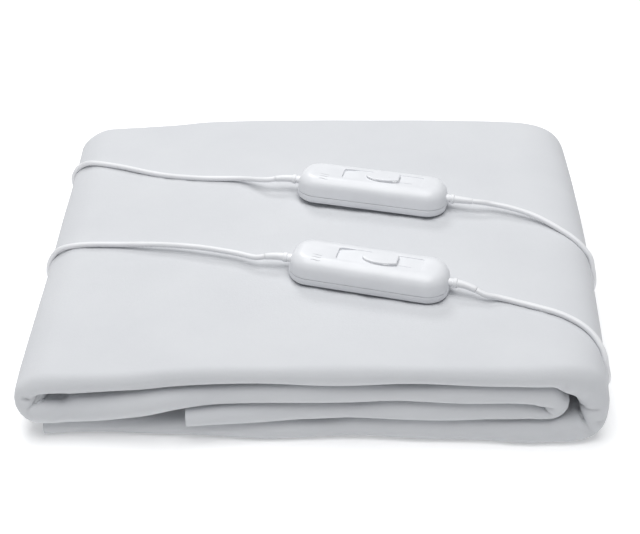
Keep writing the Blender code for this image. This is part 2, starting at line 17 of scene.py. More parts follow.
import bmesh
import bpy
from mathutils import Matrix, Vector, kdtree, noise

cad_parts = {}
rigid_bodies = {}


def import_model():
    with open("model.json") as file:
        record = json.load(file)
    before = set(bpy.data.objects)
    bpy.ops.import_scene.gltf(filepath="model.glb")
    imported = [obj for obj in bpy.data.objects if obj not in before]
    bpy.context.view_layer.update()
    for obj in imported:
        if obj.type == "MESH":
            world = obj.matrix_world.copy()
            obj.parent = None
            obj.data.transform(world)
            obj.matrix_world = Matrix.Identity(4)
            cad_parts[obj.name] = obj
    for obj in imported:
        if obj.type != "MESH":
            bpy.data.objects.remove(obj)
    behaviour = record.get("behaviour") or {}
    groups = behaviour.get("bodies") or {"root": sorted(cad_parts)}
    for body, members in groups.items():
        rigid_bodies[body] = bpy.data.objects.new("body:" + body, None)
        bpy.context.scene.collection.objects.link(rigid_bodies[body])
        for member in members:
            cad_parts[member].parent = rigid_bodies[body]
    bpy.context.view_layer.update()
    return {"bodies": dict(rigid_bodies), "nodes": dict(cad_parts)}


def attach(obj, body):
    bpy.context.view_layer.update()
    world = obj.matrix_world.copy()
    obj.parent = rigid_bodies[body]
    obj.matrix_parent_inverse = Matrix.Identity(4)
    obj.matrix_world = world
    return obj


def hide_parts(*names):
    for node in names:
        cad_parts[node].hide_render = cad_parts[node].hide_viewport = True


MM = 0.001
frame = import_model()
print(f"{len(frame['nodes'])} nodes, bodies {', '.join(frame['bodies'])}")

# %% [markdown]
# ## Camera
#
# The photograph was taken from the front, about 37 degrees above the table, through a long lens:
# the pack's sides hardly run together. A camera in Blender is placed by its location, its rotation
# and its lens in millimetres, and the lens belongs to a sensor 36 mm wide.

# %% The camera
CAMERA_PLACE = (0.01393, -0.92292, 0.71880)
CAMERA_DOWN = 36.7  # degrees below the horizon
CAMERA_LEFT = 0.908  # degrees turned to the left of +Y
FOCAL_LENGTH_PIXELS = 1410.0
IMAGE_WIDTH = 640
SENSOR_WIDTH = 36.0

camera_data = bpy.data.cameras.new("camera")
camera_data.sensor_width = SENSOR_WIDTH
camera_data.lens = FOCAL_LENGTH_PIXELS * SENSOR_WIDTH / IMAGE_WIDTH
camera = bpy.data.objects.new("camera", camera_data)
camera.location = CAMERA_PLACE
camera.rotation_euler = (math.radians(90 - CAMERA_DOWN), 0.0, math.radians(CAMERA_LEFT))
bpy.context.scene.collection.objects.link(camera)
bpy.context.scene.camera = camera
print(f"lens {camera_data.lens:.1f} mm")

# %% [markdown]
# ## Floor and light
#
# The object stands on plain white in soft light from above and behind, so its top is the brightest
# face and its front rolls are lit mostly by what the floor throws back. One lamp behind it gives the
# cords their short shadows on the near side. A wide lamp overhead and a pale sky fill the rest. The
# table in such photographs is often lit from below too, so the floor is given a faint glow of its
# own. That makes it pure white without lamps so strong that the felt would lose its grey.

# %% The floor, the lamps and the sky
FLOOR_SIZE = 6.0
FLOOR_WHITE = (0.97, 0.97, 0.97)
FLOOR_ROUGHNESS = 0.9
FLOOR_GLOW = 0.20
FLOOR_DROP = 0.3 * MM  # keeps the floor off the cloth's underside

Lamp = namedtuple("Lamp", "name place size power")
LAMPS = [
    Lamp("window", (-0.42, 1.25, 1.45), 0.65, 9.8),
    Lamp("ceiling", (-0.10, -0.20, 2.40), 2.40, 50.5),
]
SKY_COLOUR = (0.93, 0.96, 1.0)
SKY_STRENGTH = 0.235


def add(made):
    bpy.context.scene.collection.objects.link(made)
    return made


def mesh_object(name, shape, material=None):
    """A bmesh made into an object at the origin, and freed."""
    data = bpy.data.meshes.new(name)
    shape.to_mesh(data)
    shape.free()
    if material:
        data.materials.append(material)
    return add(bpy.data.objects.new(name, data))


def lay_floor():
    shape = bmesh.new()
    bmesh.ops.create_grid(shape, x_segments=1, y_segments=1, size=FLOOR_SIZE / 2)
    bmesh.ops.translate(shape, verts=shape.verts, vec=(0.0, 0.0, -FLOOR_DROP))
    floor = mesh_object("floor", shape)
    white = bpy.data.materials.new("white floor")
    white.use_nodes = True
    shader = white.node_tree.nodes["Principled BSDF"]
    shader.inputs["Base Color"].default_value = (*FLOOR_WHITE, 1.0)
    shader.inputs["Roughness"].default_value = FLOOR_ROUGHNESS
    shader.inputs["Emission Color"].default_value = (1.0, 1.0, 1.0, 1.0)
    shader.inputs["Emission Strength"].default_value = FLOOR_GLOW
    floor.data.materials.append(white)


def hang_lamp(lamp):
    data = bpy.data.lights.new(lamp.name, "AREA")
    data.shape = "DISK"
    data.size = lamp.size
    data.energy = lamp.power
    made = add(bpy.data.objects.new(lamp.name, data))
    made.location = lamp.place
    made.rotation_euler = (-Vector(lamp.place)).to_track_quat("-Z", "Y").to_euler()


def make_sky():
    world = bpy.data.worlds.new("pale sky")
    world.use_nodes = True
    background = world.node_tree.nodes["Background"]
    background.inputs["Color"].default_value = (*SKY_COLOUR, 1.0)
    background.inputs["Strength"].default_value = SKY_STRENGTH
    bpy.context.scene.world = world


lay_floor()
for lamp in LAMPS:
    hang_lamp(lamp)
make_sky()
bpy.context.scene.view_settings.view_transform = "Standard"
print(f"{len(LAMPS)} lamps and a sky")

# %% [markdown]
# ## Finishes
#
# Nothing here is a picture: each finish is a small network of shader nodes. A helper adds a node
# and another joins two sockets, so that each finish reads from top to bottom like a recipe.
#
# Moulded plastic isn't quite smooth. It has a fine skin of dimples, left by the tool, and its
# gloss changes a little where hands have been. Both come from noise that reads the object's own
# coordinates, so they stay on the surface from every side.

# %% Helpers for shader nodes
class Finish:
    """A material with its node tree, and short ways to add and join nodes."""

    def __init__(self, name, colour, roughness, metallic=0.0):
        self.material = bpy.data.materials.new(name)
        self.material.use_nodes = True
        self.tree = self.material.node_tree
        self.shader = self.tree.nodes["Principled BSDF"]
        self.shader.inputs["Base Color"].default_value = (*colour, 1.0)
        self.shader.inputs["Roughness"].default_value = roughness
        self.shader.inputs["Metallic"].default_value = metallic
        self.bump = None
        self.coordinates = self.node("ShaderNodeTexCoord").outputs["Object"]

    def node(self, kind, **values):
        made = self.tree.nodes.new(kind)
        for socket, value in values.items():
            made.inputs[socket.replace("_", " ")].default_value = value
        return made

    def join(self, output, node, socket):
        self.tree.links.new(output, node.inputs[socket])

    def noise(self, scale, detail=2.0, roughness=0.5, stretch=None, warp=0.0):
        grain = {"Scale": scale, "Detail": detail, "Roughness": roughness, "Distortion": warp}
        made = self.node("ShaderNodeTexNoise", **grain)
        source = self.coordinates
        if stretch:
            mapping = self.node("ShaderNodeMapping", Scale=stretch)
            self.join(source, mapping, "Vector")
            source = mapping.outputs["Vector"]
        self.join(source, made, "Vector")
        return made.outputs["Fac"]

    def ramp(self, value, low, high, start, end):
        """Maps value from low..high to start..end."""
        made = self.node("ShaderNodeMapRange")
        for socket, number in (("From Min", low), ("From Max", high), ("To Min", start), ("To Max", end)):
            made.inputs[socket].default_value = number
        self.join(value, made, "Value")
        return made.outputs["Result"]

    def tint(self, value, dark, light):
        """Base colour from dark to light as value goes from 0 to 1."""
        made = self.tree.nodes.new("ShaderNodeMix")
        made.data_type = "RGBA"
        colour_inputs = [s for s in made.inputs if s.type == "RGBA"]
        colour_inputs[0].default_value = (*dark, 1.0)
        colour_inputs[1].default_value = (*light, 1.0)
        self.join(value, made, 0)
        self.join([s for s in made.outputs if s.type == "RGBA"][0], self.shader, "Base Color")

    def relief(self, height, distance, strength=1.0):
        """Adds a layer of bump over the ones before it."""
        made = self.node("ShaderNodeBump", Strength=strength, Distance=distance)
        self.join(height, made, "Height")
        if self.bump:
            self.join(self.bump.outputs["Normal"], made, "Normal")
        self.bump = made
        self.join(made.outputs["Normal"], self.shader, "Normal")


def moulded_plastic(name, colour, roughness, grain=0.02 * MM):
    finish = Finish(name, colour, roughness)
    mottle = finish.ramp(finish.noise(60.0, detail=3.0), 0.35, 0.65, 0.0, 1.0)
    finish.tint(mottle, tuple(0.965 * c for c in colour), colour)
    touched = finish.noise(95.0, detail=4.0, roughness=0.6)
    gloss = finish.ramp(touched, 0.3, 0.7, roughness - 0.05, roughness + 0.07)
    finish.join(gloss, finish.shader, "Roughness")
    finish.relief(finish.noise(1500.0, detail=2.0), grain)
    finish.shader.inputs["Specular IOR Level"].default_value = 0.5
    return finish


# %% Plastics, metal and strap
SHELL_WHITE = (0.80, 0.81, 0.835)
CORD_WHITE = (0.85, 0.855, 0.872)

shell_plastic = moulded_plastic("satin shell plastic", SHELL_WHITE, 0.34).material
knob_plastic = moulded_plastic("satin knob plastic", SHELL_WHITE, 0.30).material
plug_plastic = moulded_plastic("moulded plug plastic", CORD_WHITE, 0.45, grain=0.04 * MM).material
# The mark's plastic is the shell's white darkened to 0.78: painted shade for the shade along its raised
# strokes.
mark_plastic_painted_shade = moulded_plastic("raised mark", tuple(0.78 * c for c in SHELL_WHITE), 0.40).material


def soft_cord():
    """Flexible cord sheath: smooth, with long shallow waves where the cores push from inside."""
    finish = Finish("soft cord sheath", CORD_WHITE, 0.42)
    mottle = finish.ramp(finish.noise(45.0, detail=3.0), 0.35, 0.65, 0.0, 1.0)
    finish.tint(mottle, tuple(0.96 * c for c in CORD_WHITE), CORD_WHITE)
    gloss = finish.ramp(finish.noise(160.0, detail=4.0), 0.3, 0.7, 0.36, 0.50)
    finish.join(gloss, finish.shader, "Roughness")
    finish.relief(finish.noise(140.0, detail=1.0), 0.12 * MM)
    finish.relief(finish.noise(2200.0, detail=2.0), 0.012 * MM)
    return finish.material


def plated_pins():
    """Nickel plate with fine scratches along the way the pins go into a socket."""
    finish = Finish("nickel-plated pins", (0.74, 0.73, 0.70), 0.24, metallic=1.0)
    scratches = finish.noise(900.0, detail=3.0, stretch=(0.12, 1.0, 1.0))
    finish.join(finish.ramp(scratches, 0.3, 0.7, 0.18, 0.36), finish.shader, "Roughness")
    finish.relief(scratches, 0.01 * MM)
    return finish.material


def woven_strap():
    """A narrow white strap with fine cross ribs."""
    finish = Finish("tie strap", (0.80, 0.80, 0.80), 0.75)
    ribs = finish.node("ShaderNodeTexWave", Scale=420.0, Distortion=0.4)
    ribs.bands_direction = "Z"
    finish.join(finish.coordinates, ribs, "Vector")
    finish.tint(ribs.outputs["Fac"], (0.72, 0.72, 0.73), (0.82, 0.82, 0.82))
    finish.relief(ribs.outputs["Fac"], 0.08 * MM)
    return finish.material


cord_sheath = soft_cord()
pin_metal = plated_pins()
strap_cloth = woven_strap()
print("finishes:", ", ".join(sorted(m.name for m in bpy.data.materials if m.use_nodes)))

# %% [markdown]
# ## The cloth's finish
#
# The blanket is soft needled felt: short fibres pressed together, with no weave. Close to, it is
# a mat of fine hairs with shallow dimples. From a step away only its soft, even, dull white shows,
# with a little more light at grazing angles, because hairs stand out of it. That is what sheen is.
#
# The pattern has to lie in the cloth and follow its folds, so it reads the cloth's own UV map,
# which holds each point's place on the flat sheet in metres.

# %% Needled felt
FELT_WHITE = (0.665, 0.675, 0.694)
FELT_SHADE = (0.636, 0.646, 0.668)


def needled_felt():
    finish = Finish("needled felt", FELT_WHITE, 0.95)
    uv = finish.node("ShaderNodeUVMap")
    uv.uv_map = "cloth"
    finish.coordinates = uv.outputs["UV"]
    clouds = finish.noise(14.0, detail=5.0, roughness=0.6)
    finish.tint(finish.ramp(clouds, 0.3, 0.7, 0.0, 1.0), FELT_SHADE, FELT_WHITE)
    finish.relief(finish.noise(85.0, detail=3.0, roughness=0.55), 0.35 * MM, strength=0.45)
    finish.relief(finish.noise(420.0, detail=4.0, roughness=0.65, warp=0.6), 0.22 * MM, strength=0.6)
    fibres = finish.noise(1900.0, detail=2.0, stretch=(0.35, 1.0, 1.0), warp=1.5)
    finish.relief(fibres, 0.10 * MM, strength=0.6)
    finish.shader.inputs["Sheen Weight"].default_value = 0.12
    finish.shader.inputs["Sheen Roughness"].default_value = 0.5
    finish.shader.inputs["Specular IOR Level"].default_value = 0.15
    return finish.material


felt = needled_felt()
print("cloth finish ready")

# %% [markdown]
# ## The folded blanket: its path
#
# The real thing is one sheet, 1.50 m by 1.40 m, folded twice lengthwise into a strip four plies
# thick, which is then folded in four. A cloth simulation of so many plies lying on each other
# would be slow and hard to steer, so the sheet is folded by rule instead. A table gives the middle
# line of the strip, seen from the front, and a second rule gives the path of the plies across it.
# Every point of the flat sheet then has one place in the pack, and the sheet stays whole.

# %% The middle line of the strip
DEPTH = 349.0 * MM  # a quarter of the cloth's width
STRIP_LENGTH = 1.50
SHEET_WIDTH = 1.40
PLY = 3.3 * MM  # thickness of the felt
ORIGIN = Vector((-3.27 * MM, 2.83 * MM, 0.0))  # from the table's zero to the frame's

# In millimetres. half is half the strip's thickness, front how far its front fold stands out and
# back how far its back edge is drawn in.
Station = namedtuple("Station", "x z half front back")
STRIP = [
    Station(-197.0, 7.0, 7.0, -1.0, 7.0),  # bottom layer, from its cut end
    Station(-150.0, 7.1, 7.1, -3.0, 5.0),
    Station(-100.0, 7.5, 7.5, -1.0, 4.0),
    Station(-60.0, 7.9, 7.9, 0.5, 3.0),
    Station(0.0, 8.0, 8.0, 0.0, 3.0),
    Station(70.0, 8.0, 8.0, 0.0, 3.0),
    Station(120.0, 8.1, 8.1, 1.0, 3.0),
    Station(152.0, 8.2, 8.2, 3.5, 4.0),
    Station(172.0, 8.3, 8.2, 3.0, 6.0),
    Station(189.0, 8.8, 8.7, 2.5, 9.0),  # right wrap, bunched up
    Station(201.2, 13.8, 10.4, 1.0, 11.0),
    Station(203.8, 26.8, 10.2, -1.0, 12.0),
    Station(201.4, 41.0, 10.2, -2.0, 11.0),
    Station(194.5, 52.6, 10.2, -1.5, 8.0),
    Station(180.0, 58.6, 9.0, -1.0, 4.0),
    Station(155.0, 59.6, 8.1, 0.0, 1.5),  # top layer
    Station(100.0, 59.2, 8.0, 0.0, 0.0),
    Station(30.0, 58.7, 8.0, 0.0, 0.0),
    Station(-40.0, 57.9, 8.0, 0.0, 0.0),
    Station(-96.0, 55.6, 8.0, 0.5, 0.5),
    Station(-126.0, 52.4, 8.0, 1.0, 1.0),
    Station(-155.0, 49.7, 8.1, 1.0, 0.5),
    Station(-177.0, 48.2, 8.5, 1.0, 0.5),  # left fold
    Station(-193.2, 45.4, 9.8, 1.0, 0.5),
    Station(-204.8, 34.6, 12.0, 1.5, 2.0),
    Station(-200.0, 26.0, 11.8, 4.0, 6.0),
    Station(-176.0, 26.2, 11.2, 4.5, 6.0),
    Station(-152.0, 27.6, 11.2, 5.0, 6.0),  # second layer, sagging at the left
    Station(-126.0, 31.9, 10.3, 5.0, 5.0),
    Station(-97.0, 38.2, 8.3, 4.0, 5.0),
    Station(-60.0, 40.8, 7.9, 1.5, 5.0),
    Station(0.0, 41.8, 7.9, 0.0, 5.0),
    Station(80.0, 42.1, 7.9, 0.0, 5.0),
    Station(148.0, 42.1, 7.9, 0.0, 6.0),
    Station(166.0, 41.7, 7.9, 0.0, 7.0),  # inner fold
    Station(173.6, 38.4, 7.9, -0.5, 8.0),
    Station(176.0, 33.4, 7.9, -1.0, 9.0),
    Station(173.6, 28.4, 7.9, -0.5, 8.0),
    Station(166.0, 25.1, 7.9, 0.0, 7.0),
    Station(148.0, 24.9, 7.9, 0.0, 6.0),  # third layer
    Station(70.0, 24.9, 7.9, 0.0, 5.0),
    Station(0.0, 24.8, 7.9, 0.0, 5.0),
    Station(-50.0, 24.2, 7.7, 2.5, 5.0),
    Station(-91.5, 22.4, 6.7, 6.0, 6.0),
]
READINGS = 24  # of the smooth line between two rows of the table
TURN_SHARE = 0.86  # how near the plies inside a bend may come to its centre


def catmull(a, b, c, d, t):
    """The point at t from b to c on the smooth curve through a, b, c and d."""
    return 0.5 * (2 * b + (c - a) * t + (2 * a - 5 * b + 4 * c - d) * t * t + (3 * b - a - 3 * c + d) * t**3)


class MiddleLine:
    """The strip's middle line read at any share of its length."""

    def __init__(self, table):
        rows = [table[0], *table, table[-1]]
        self.rows = []
        for i in range(1, len(rows) - 2):
            for k in range(READINGS):
                values = [catmull(*four, k / READINGS) for four in zip(*rows[i - 1 : i + 3])]
                self.rows.append(Station(*(value * MM for value in values)))
        self.rows.append(Station(*(value * MM for value in table[-1])))
        self.marks = [0.0]
        for a, b in zip(self.rows, self.rows[1:]):
            self.marks.append(self.marks[-1] + math.hypot(b.x - a.x, b.z - a.z))
        self.length = self.marks[-1]

    def read(self, share):
        """The station at that share of the length."""
        mark = min(max(share, 0.0), 1.0) * self.length
        i = min(bisect_right(self.marks, mark), len(self.rows) - 1)
        t = (mark - self.marks[i - 1]) / (self.marks[i] - self.marks[i - 1])
        return Station(*(a + (b - a) * t for a, b in zip(self.rows[i - 1], self.rows[i])))

    def frame(self, share, reach=5.0 * MM):
        """The station there, the direction across the plies, and how sharply the line turns."""
        step, share = reach / self.length, min(max(share, 0.0), 1.0)
        row, before, after = (self.read(share + k * step) for k in (0, -1, 1))
        into, out = Vector((row.x - before.x, row.z - before.z)), Vector((after.x - row.x, after.z - row.z))
        along = (after.x - before.x, after.z - before.z)
        length = math.hypot(*along)
        turn = 0.0
        if into.length > 0.5 * reach and out.length > 0.5 * reach:
            turn = math.atan2(into.x * out.y - into.y * out.x, into.dot(out)) / reach
        return row, Vector((-along[1] / length, along[0] / length)), turn

    def share_at(self, x, row_from, row_to):
        """The share of the length where the line passes x between two rows of the table."""
        rows = range(row_from * READINGS, row_to * READINGS)
        nearest = min(rows, key=lambda i: abs(self.rows[i].x - x))
        return self.marks[nearest] / self.length


middle_line = MiddleLine(STRIP)
print(f"middle line {middle_line.length:.3f} m, the cloth lies in it {STRIP_LENGTH} m long")

# %% [markdown]
# ## The folded blanket: one rule for every point
#
# Across the strip the sheet runs from its first cut edge at the back to the front fold, round it
# to the back again, round a small fold there, and once more to the front and back inside the first
# turn. So `across` gives, for a place on the sheet's width, how far back the point lies and at
# which height among the four plies. The pack is also a little crowned, falls off to the back, and
# its wrap bulges: `settle` has the same rules as the CAD model. Two more are for the looks alone.
# Inside the right wrap the inner plies sag into the hollow and the bottom layer bunches up, and near
# the front end some layers lie a little higher.

# %% From the flat sheet to the pack
ROUND_OUTER = 10.0 * MM  # cloth that the outer front fold takes each side of its middle
ROUND_SMALL = 3.2 * MM  # the same for the two small folds
PLY_GAP = 0.25 * MM
PUFF = 0.35 * MM  # how much the felt swells towards its neighbours
WRAP_BULGE = 8.5 * MM
WRAP_BULGE_Y = 80.0 * MM
BULGE_X = (150 * MM, 200 * MM)  # from where to where the wrap and the left fold bulge
FOLD_PINCH = 1.5 * MM
CORNER_X = (140 * MM, 215 * MM)  # from where to where the back corners droop
CORNER_Y = 90 * MM
DROOP = 0.015
BACK_FALL = 0.018
CROWN = 0.028
SAG = 5.5 * MM  # how far the inner plies hang into the hollow inside the right wrap
SAG_X = (170 * MM, 184 * MM, 191 * MM, 200 * MM)  # where that starts, is whole, and ends
SAG_Z = (34 * MM, 39 * MM)
SWELL = 4.5 * MM  # how far the bottom layer bunches up into the same hollow
SWELL_Z = (9 * MM, 16 * MM)
CUT_BACK = 0.6 * MM  # how far the sheet's cut edges stay inside the folds at the back

# Where the gaps between the layers run higher at the front than the table above has them: from
# and to which x, at which height, and by how much, in millimetres
Lift = namedtuple("Lift", "start end z up")
LIFTS = [Lift(45, 150, 33.0, 2.6), Lift(20, 140, 16.5, 3.6), Lift(148, 176, 17.5, 4.6)]
LIFT_REACH = 5.0
LIFT_FADE = (14.0, 10.0)  # how far outside and inside its two ends a lift fades
LIFT_Y = (110 * MM, 150 * MM)  # how far in front of the middle a lift starts and is whole


def smooth_step(value, start, end):
    t = min(max((value - start) / (end - start), 0.0), 1.0)
    return t * t * (3.0 - 2.0 * t)


def across(v, row):
    """How far back (y) and how high among the plies (n) the sheet lies at v across its width."""
    front, back = -DEPTH / 2 - row.front, DEPTH / 2 - row.back
    outer, small = row.half - PLY / 2 + PUFF, PLY / 2 + PLY_GAP
    middle = front + row.half
    ply = SHEET_WIDTH / 4
    if v < ply - ROUND_OUTER:
        t = v / (ply - ROUND_OUTER)
        return back - CUT_BACK + (middle - back + CUT_BACK) * t, outer
    if v < ply + ROUND_OUTER:
        angle = math.pi * (v - ply + ROUND_OUTER) / (2 * ROUND_OUTER)
        return middle - outer * math.sin(angle), outer * math.cos(angle)
    loop = (outer - small) / 2
    loop_y = back - loop - PLY / 2
    if v < 2 * ply - ROUND_SMALL:
        t = (v - ply - ROUND_OUTER) / (ply - ROUND_OUTER - ROUND_SMALL)
        return middle + (loop_y - middle) * t, -outer
    if v < 2 * ply + ROUND_SMALL:
        angle = math.pi * (v - 2 * ply + ROUND_SMALL) / (2 * ROUND_SMALL)
        return loop_y + loop * math.sin(angle), -small - loop - loop * math.cos(angle)
    inner_y = front + PLY * 1.5 + PLY_GAP + small
    if v < 3 * ply - ROUND_SMALL:
        t = (v - 2 * ply - ROUND_SMALL) / (ply - 2 * ROUND_SMALL)
        return loop_y + (inner_y - loop_y) * t, -small
    if v < 3 * ply + ROUND_SMALL:
        angle = math.pi * (v - 3 * ply + ROUND_SMALL) / (2 * ROUND_SMALL)
        return inner_y - small * math.sin(angle), -small * math.cos(angle)
    t = (v - 3 * ply - ROUND_SMALL) / (ply - ROUND_SMALL)
    return inner_y + (back - CUT_BACK - inner_y) * t, small


def settle(x, y, z, lifted):
    """The pack's own unevenness, and its wrap and left fold seen from above."""
    wrap = smooth_step(x, *BULGE_X) * (1 - ((y - WRAP_BULGE_Y) / (DEPTH / 2 + WRAP_BULGE_Y)) ** 2)
    fold = smooth_step(-x, *BULGE_X) * (1 - (2 * y / DEPTH) ** 2) * lifted
    corner = smooth_step(abs(x), *CORNER_X) * smooth_step(y, CORNER_Y, DEPTH / 2)
    fall = BACK_FALL * smooth_step(y, -DEPTH / 4, DEPTH / 2)
    crown = CROWN * (1 - smooth_step(abs(y), 0.0, DEPTH / 2))
    return x + WRAP_BULGE * wrap + FOLD_PINCH * fold, y, z * (1 - DROOP * corner - fall + crown)


def raised(x, y, z):
    """The height of a point once the layers near the front end are lifted."""
    front = smooth_step(-y, *LIFT_Y)
    outside, inside = LIFT_FADE
    for lift in LIFTS:
        share = smooth_step(x / MM, lift.start - outside, lift.start + inside)
        share *= 1 - smooth_step(x / MM, lift.end - inside, lift.end + outside)
        z += lift.up * MM * front * share * math.exp(-(((z / MM - lift.z) / LIFT_REACH) ** 2))
    return z


def folded(u, v):
    """The place in the pack of the sheet's middle surface at u along the strip and v across it."""
    row, normal, turn = middle_line.frame(u / STRIP_LENGTH)
    y, n = across(v, row)
    if turn * n > 0.0:
        n = math.copysign(min(abs(n), TURN_SHARE / abs(turn)), n)
    x, z = row.x + normal.x * n, max(row.z + normal.y * n, PLY / 2)
    if n > 0.0:
        hung = smooth_step(x, *SAG_X[:2]) * (1 - smooth_step(x, *SAG_X[2:]))
        z -= SAG * hung * smooth_step(min(row.z, z + SAG), *SAG_Z)
        z += SWELL * hung * (1 - smooth_step(row.z, *SWELL_Z))
    return Vector(settle(x, y, raised(x, y, z), row.z > 2 * row.half)) + ORIGIN


corners = [folded(u, v) for u in (0.0, STRIP_LENGTH) for v in (0.0, SHEET_WIDTH)]
print("sheet corners:", [tuple(round(c / MM) for c in p) for p in corners])

# %% [markdown]
# ## The folded blanket: the mesh
#
# A fine grid all over a sheet of two square metres would be far too heavy, and most of it is
# hidden. The grid's lines stand close together only where the cloth bends or shows its creases,
# and far apart where it lies flat inside the pack.

# %% Grid lines along and across the sheet
FLAT_STEP = 10.0 * MM
BEND_STEP = 2.2 * MM
BACK_STEP = 20.0 * MM
HIDDEN_STEP = 24.0 * MM
SEEN_STEP = 6.5 * MM
ROLL_STEP = 3.2 * MM
ROLL_REACH = 48.0 * MM  # how far each side of the front fold the rolls show
EDGE_STEP = 3.0 * MM
EDGE_REACH = 6.0 * MM
FINE_STEP = 2.6 * MM
CORD_SPANS = ((-28 * MM, 2 * MM), (106 * MM, 126 * MM))
TOP_SHARE = 0.4  # a place along the middle line that is in the top layer
BEND_TURN = 6.0  # per metre: from here on a stretch counts as bent
SLIGHT_TURN = 2.0
SLIGHT_STEP = 4.0 * MM
CUT_EDGE = 12 * MM  # how far in from a cut edge the lines stay close together
LOOK_AROUND = (-12, -4, 4, 12, 20)  # millimetres before and after a place


def lines_along():
    """Places along the strip, closer where its middle line turns or its ends lie."""
    made, u = [0.0], 0.0
    while u < STRIP_LENGTH:
        near = max(abs(middle_line.frame((u + k * MM) / STRIP_LENGTH)[2]) for k in LOOK_AROUND)
        if near > BEND_TURN or min(u, STRIP_LENGTH - u) < CUT_EDGE:
            u += BEND_STEP
        else:
            u += SLIGHT_STEP if near > SLIGHT_TURN else FLAT_STEP
        made.append(min(u, STRIP_LENGTH))
    return made


def run(start, end, step):
    """Places from start up to end, about a step apart."""
    count = max(1, round((end - start) / step))
    return [start + (end - start) * (k / count) for k in range(count)]


def run_past_cords(start, end, step):
    """Places on the ply that shows, closer together where cords bend over the pack's edges."""
    made, v, row = [], start, middle_line.read(TOP_SHARE)
    while v < end - step / 2:
        made.append(v)
        y = across(v, row)[0]
        v += FINE_STEP if any(low < y < high for low, high in CORD_SPANS) else step
    return made


def lines_across():
    """Places across the sheet: close together at its edges, its folds and on the rolls beside them."""
    ply = SHEET_WIDTH / 4
    rolls = (ply - ROLL_REACH, ply + ROLL_REACH)
    made = run(0.0, EDGE_REACH, EDGE_STEP)
    made += run(EDGE_REACH, rolls[0], BACK_STEP)
    made += run(rolls[0], ply - ROUND_OUTER, ROLL_STEP)
    made += run(ply - ROUND_OUTER, ply + ROUND_OUTER, 1.25 * MM)
    made += run(ply + ROUND_OUTER, rolls[1], ROLL_STEP)
    made += run_past_cords(rolls[1], 2 * ply - CUT_EDGE, SEEN_STEP)
    made += run(2 * ply - CUT_EDGE, 2 * ply - ROUND_SMALL, EDGE_STEP)
    made += run(2 * ply - ROUND_SMALL, 2 * ply + ROUND_SMALL, 0.9 * MM)
    made += run(2 * ply + ROUND_SMALL, 3 * ply - ROUND_SMALL, HIDDEN_STEP)
    made += run(3 * ply - ROUND_SMALL, 3 * ply + ROUND_SMALL, 1.3 * MM)
    made += run(3 * ply + ROUND_SMALL, 4 * ply - EDGE_REACH, HIDDEN_STEP)
    made += run(4 * ply - EDGE_REACH, 4 * ply, EDGE_STEP)
    return made + [SHEET_WIDTH]


along_lines, across_lines = lines_along(), lines_across()
print(f"{len(along_lines)} lines along, {len(across_lines)} across")

# %% [markdown]
# ## Controllers: where they lie
#
# The two controllers are alike, so each piece is modelled once about the middle of its underside
# and then taken to the place where the CAD model has it. That place is read from the CAD node: the
# middle of its points is a known height over its underside. Its turn and its roll are in degrees.

# %% The places of the two controllers
Control = namedtuple("Control", "name turn roll")
CONTROLS = [Control("front", -13.5, -1.5), Control("rear", -12.0, -5.0)]
BASE_MIDDLE = 2.28 * MM  # height of the middle of the CAD base's points over its underside


def node_middle(name):
    points = {tuple(round(c / MM, 3) for c in vert.co) for vert in frame["nodes"][name].data.vertices}
    return sum((Vector(point) for point in points), Vector()) / len(points) * MM


def control_place(control):
    turn = Matrix.Rotation(math.radians(control.turn), 3, "Z")
    turn = turn @ Matrix.Rotation(math.radians(control.roll), 3, "X")
    place = turn.to_4x4()
    place.translation = node_middle("base_" + control.name) - turn @ Vector((0.0, 0.0, BASE_MIDDLE))
    return place


places = {control.name: control_place(control) for control in CONTROLS}
for name, place in places.items():
    print(f"{name} controller at", [round(c / MM, 1) for c in place.translation])

# %% [markdown]
# ## Controllers: the two shells
#
# A controller is two plastic shells screwed together, shaped like a bar of soap. Both start as a
# cube. Bevelling its four upright edges makes the round ends, and bevelling the rim makes the soft
# shoulder, which is what the light plays on. Where the shells meet, each has a tiny rounding, and
# the two together read as the fine dark line round the side. The upper shell's sides then lean in
# a little, as every moulded shell's do so that it comes out of its mould.

# %% Shaping helpers and the shells
SHELL_LENGTH = 123.5 * MM
SHELL_WIDTH = 41.0 * MM
SHELL_HEIGHT = 21.0 * MM
SHELL_CORNER = 17.0 * MM
BASE_HEIGHT = 6.5 * MM
SEAM = 0.3 * MM
SEAM_EDGE = 0.35 * MM
BASE_EDGE = 3.0 * MM
COVER_EDGE = 8.0 * MM
DRAFT = 2.8 * MM  # how far the upper shell narrows on each side towards its top
CORNER_STEPS = 16
CLOSE = 0.01 * MM


def bevel(shape, edges, offset, segments):
    size = {"offset": offset, "segments": segments}
    bmesh.ops.bevel(shape, geom=edges, profile=0.5, affect="EDGES", material=-1, **size)


def bar(shape, size, corner, middle):
    """A box with rounded upright edges, added to the shape."""
    made = bmesh.ops.create_cube(shape, size=1.0)["verts"]
    bmesh.ops.scale(shape, verts=made, vec=size)
    bmesh.ops.translate(shape, verts=made, vec=middle)
    edges = {edge for vert in made for edge in vert.link_edges}
    upright = [edge for edge in edges if abs(edge.verts[0].co.z - edge.verts[1].co.z) > CLOSE]
    bevel(shape, upright, corner, CORNER_STEPS)


def level_edges(shape, z, reach_x=math.inf, reach_y=math.inf, middle=0.0):
    """The edges that lie at a height, within a reach from the middle."""
    found = []
    for edge in shape.edges:
        places = [vert.co for vert in edge.verts]
        level = all(abs(c.z - z) < CLOSE for c in places)
        if level and all(abs(c.x - middle) < reach_x and abs(c.y) < reach_y for c in places):
            found.append(edge)
    return found


def soap_bar(low, high, lower_edge, upper_edge, upper_steps):
    shape = bmesh.new()
    bar(shape, (SHELL_LENGTH, SHELL_WIDTH, high - low), SHELL_CORNER, (0.0, 0.0, (low + high) / 2))
    bevel(shape, level_edges(shape, low), lower_edge, 6)
    bevel(shape, level_edges(shape, high), upper_edge, upper_steps)
    return shape


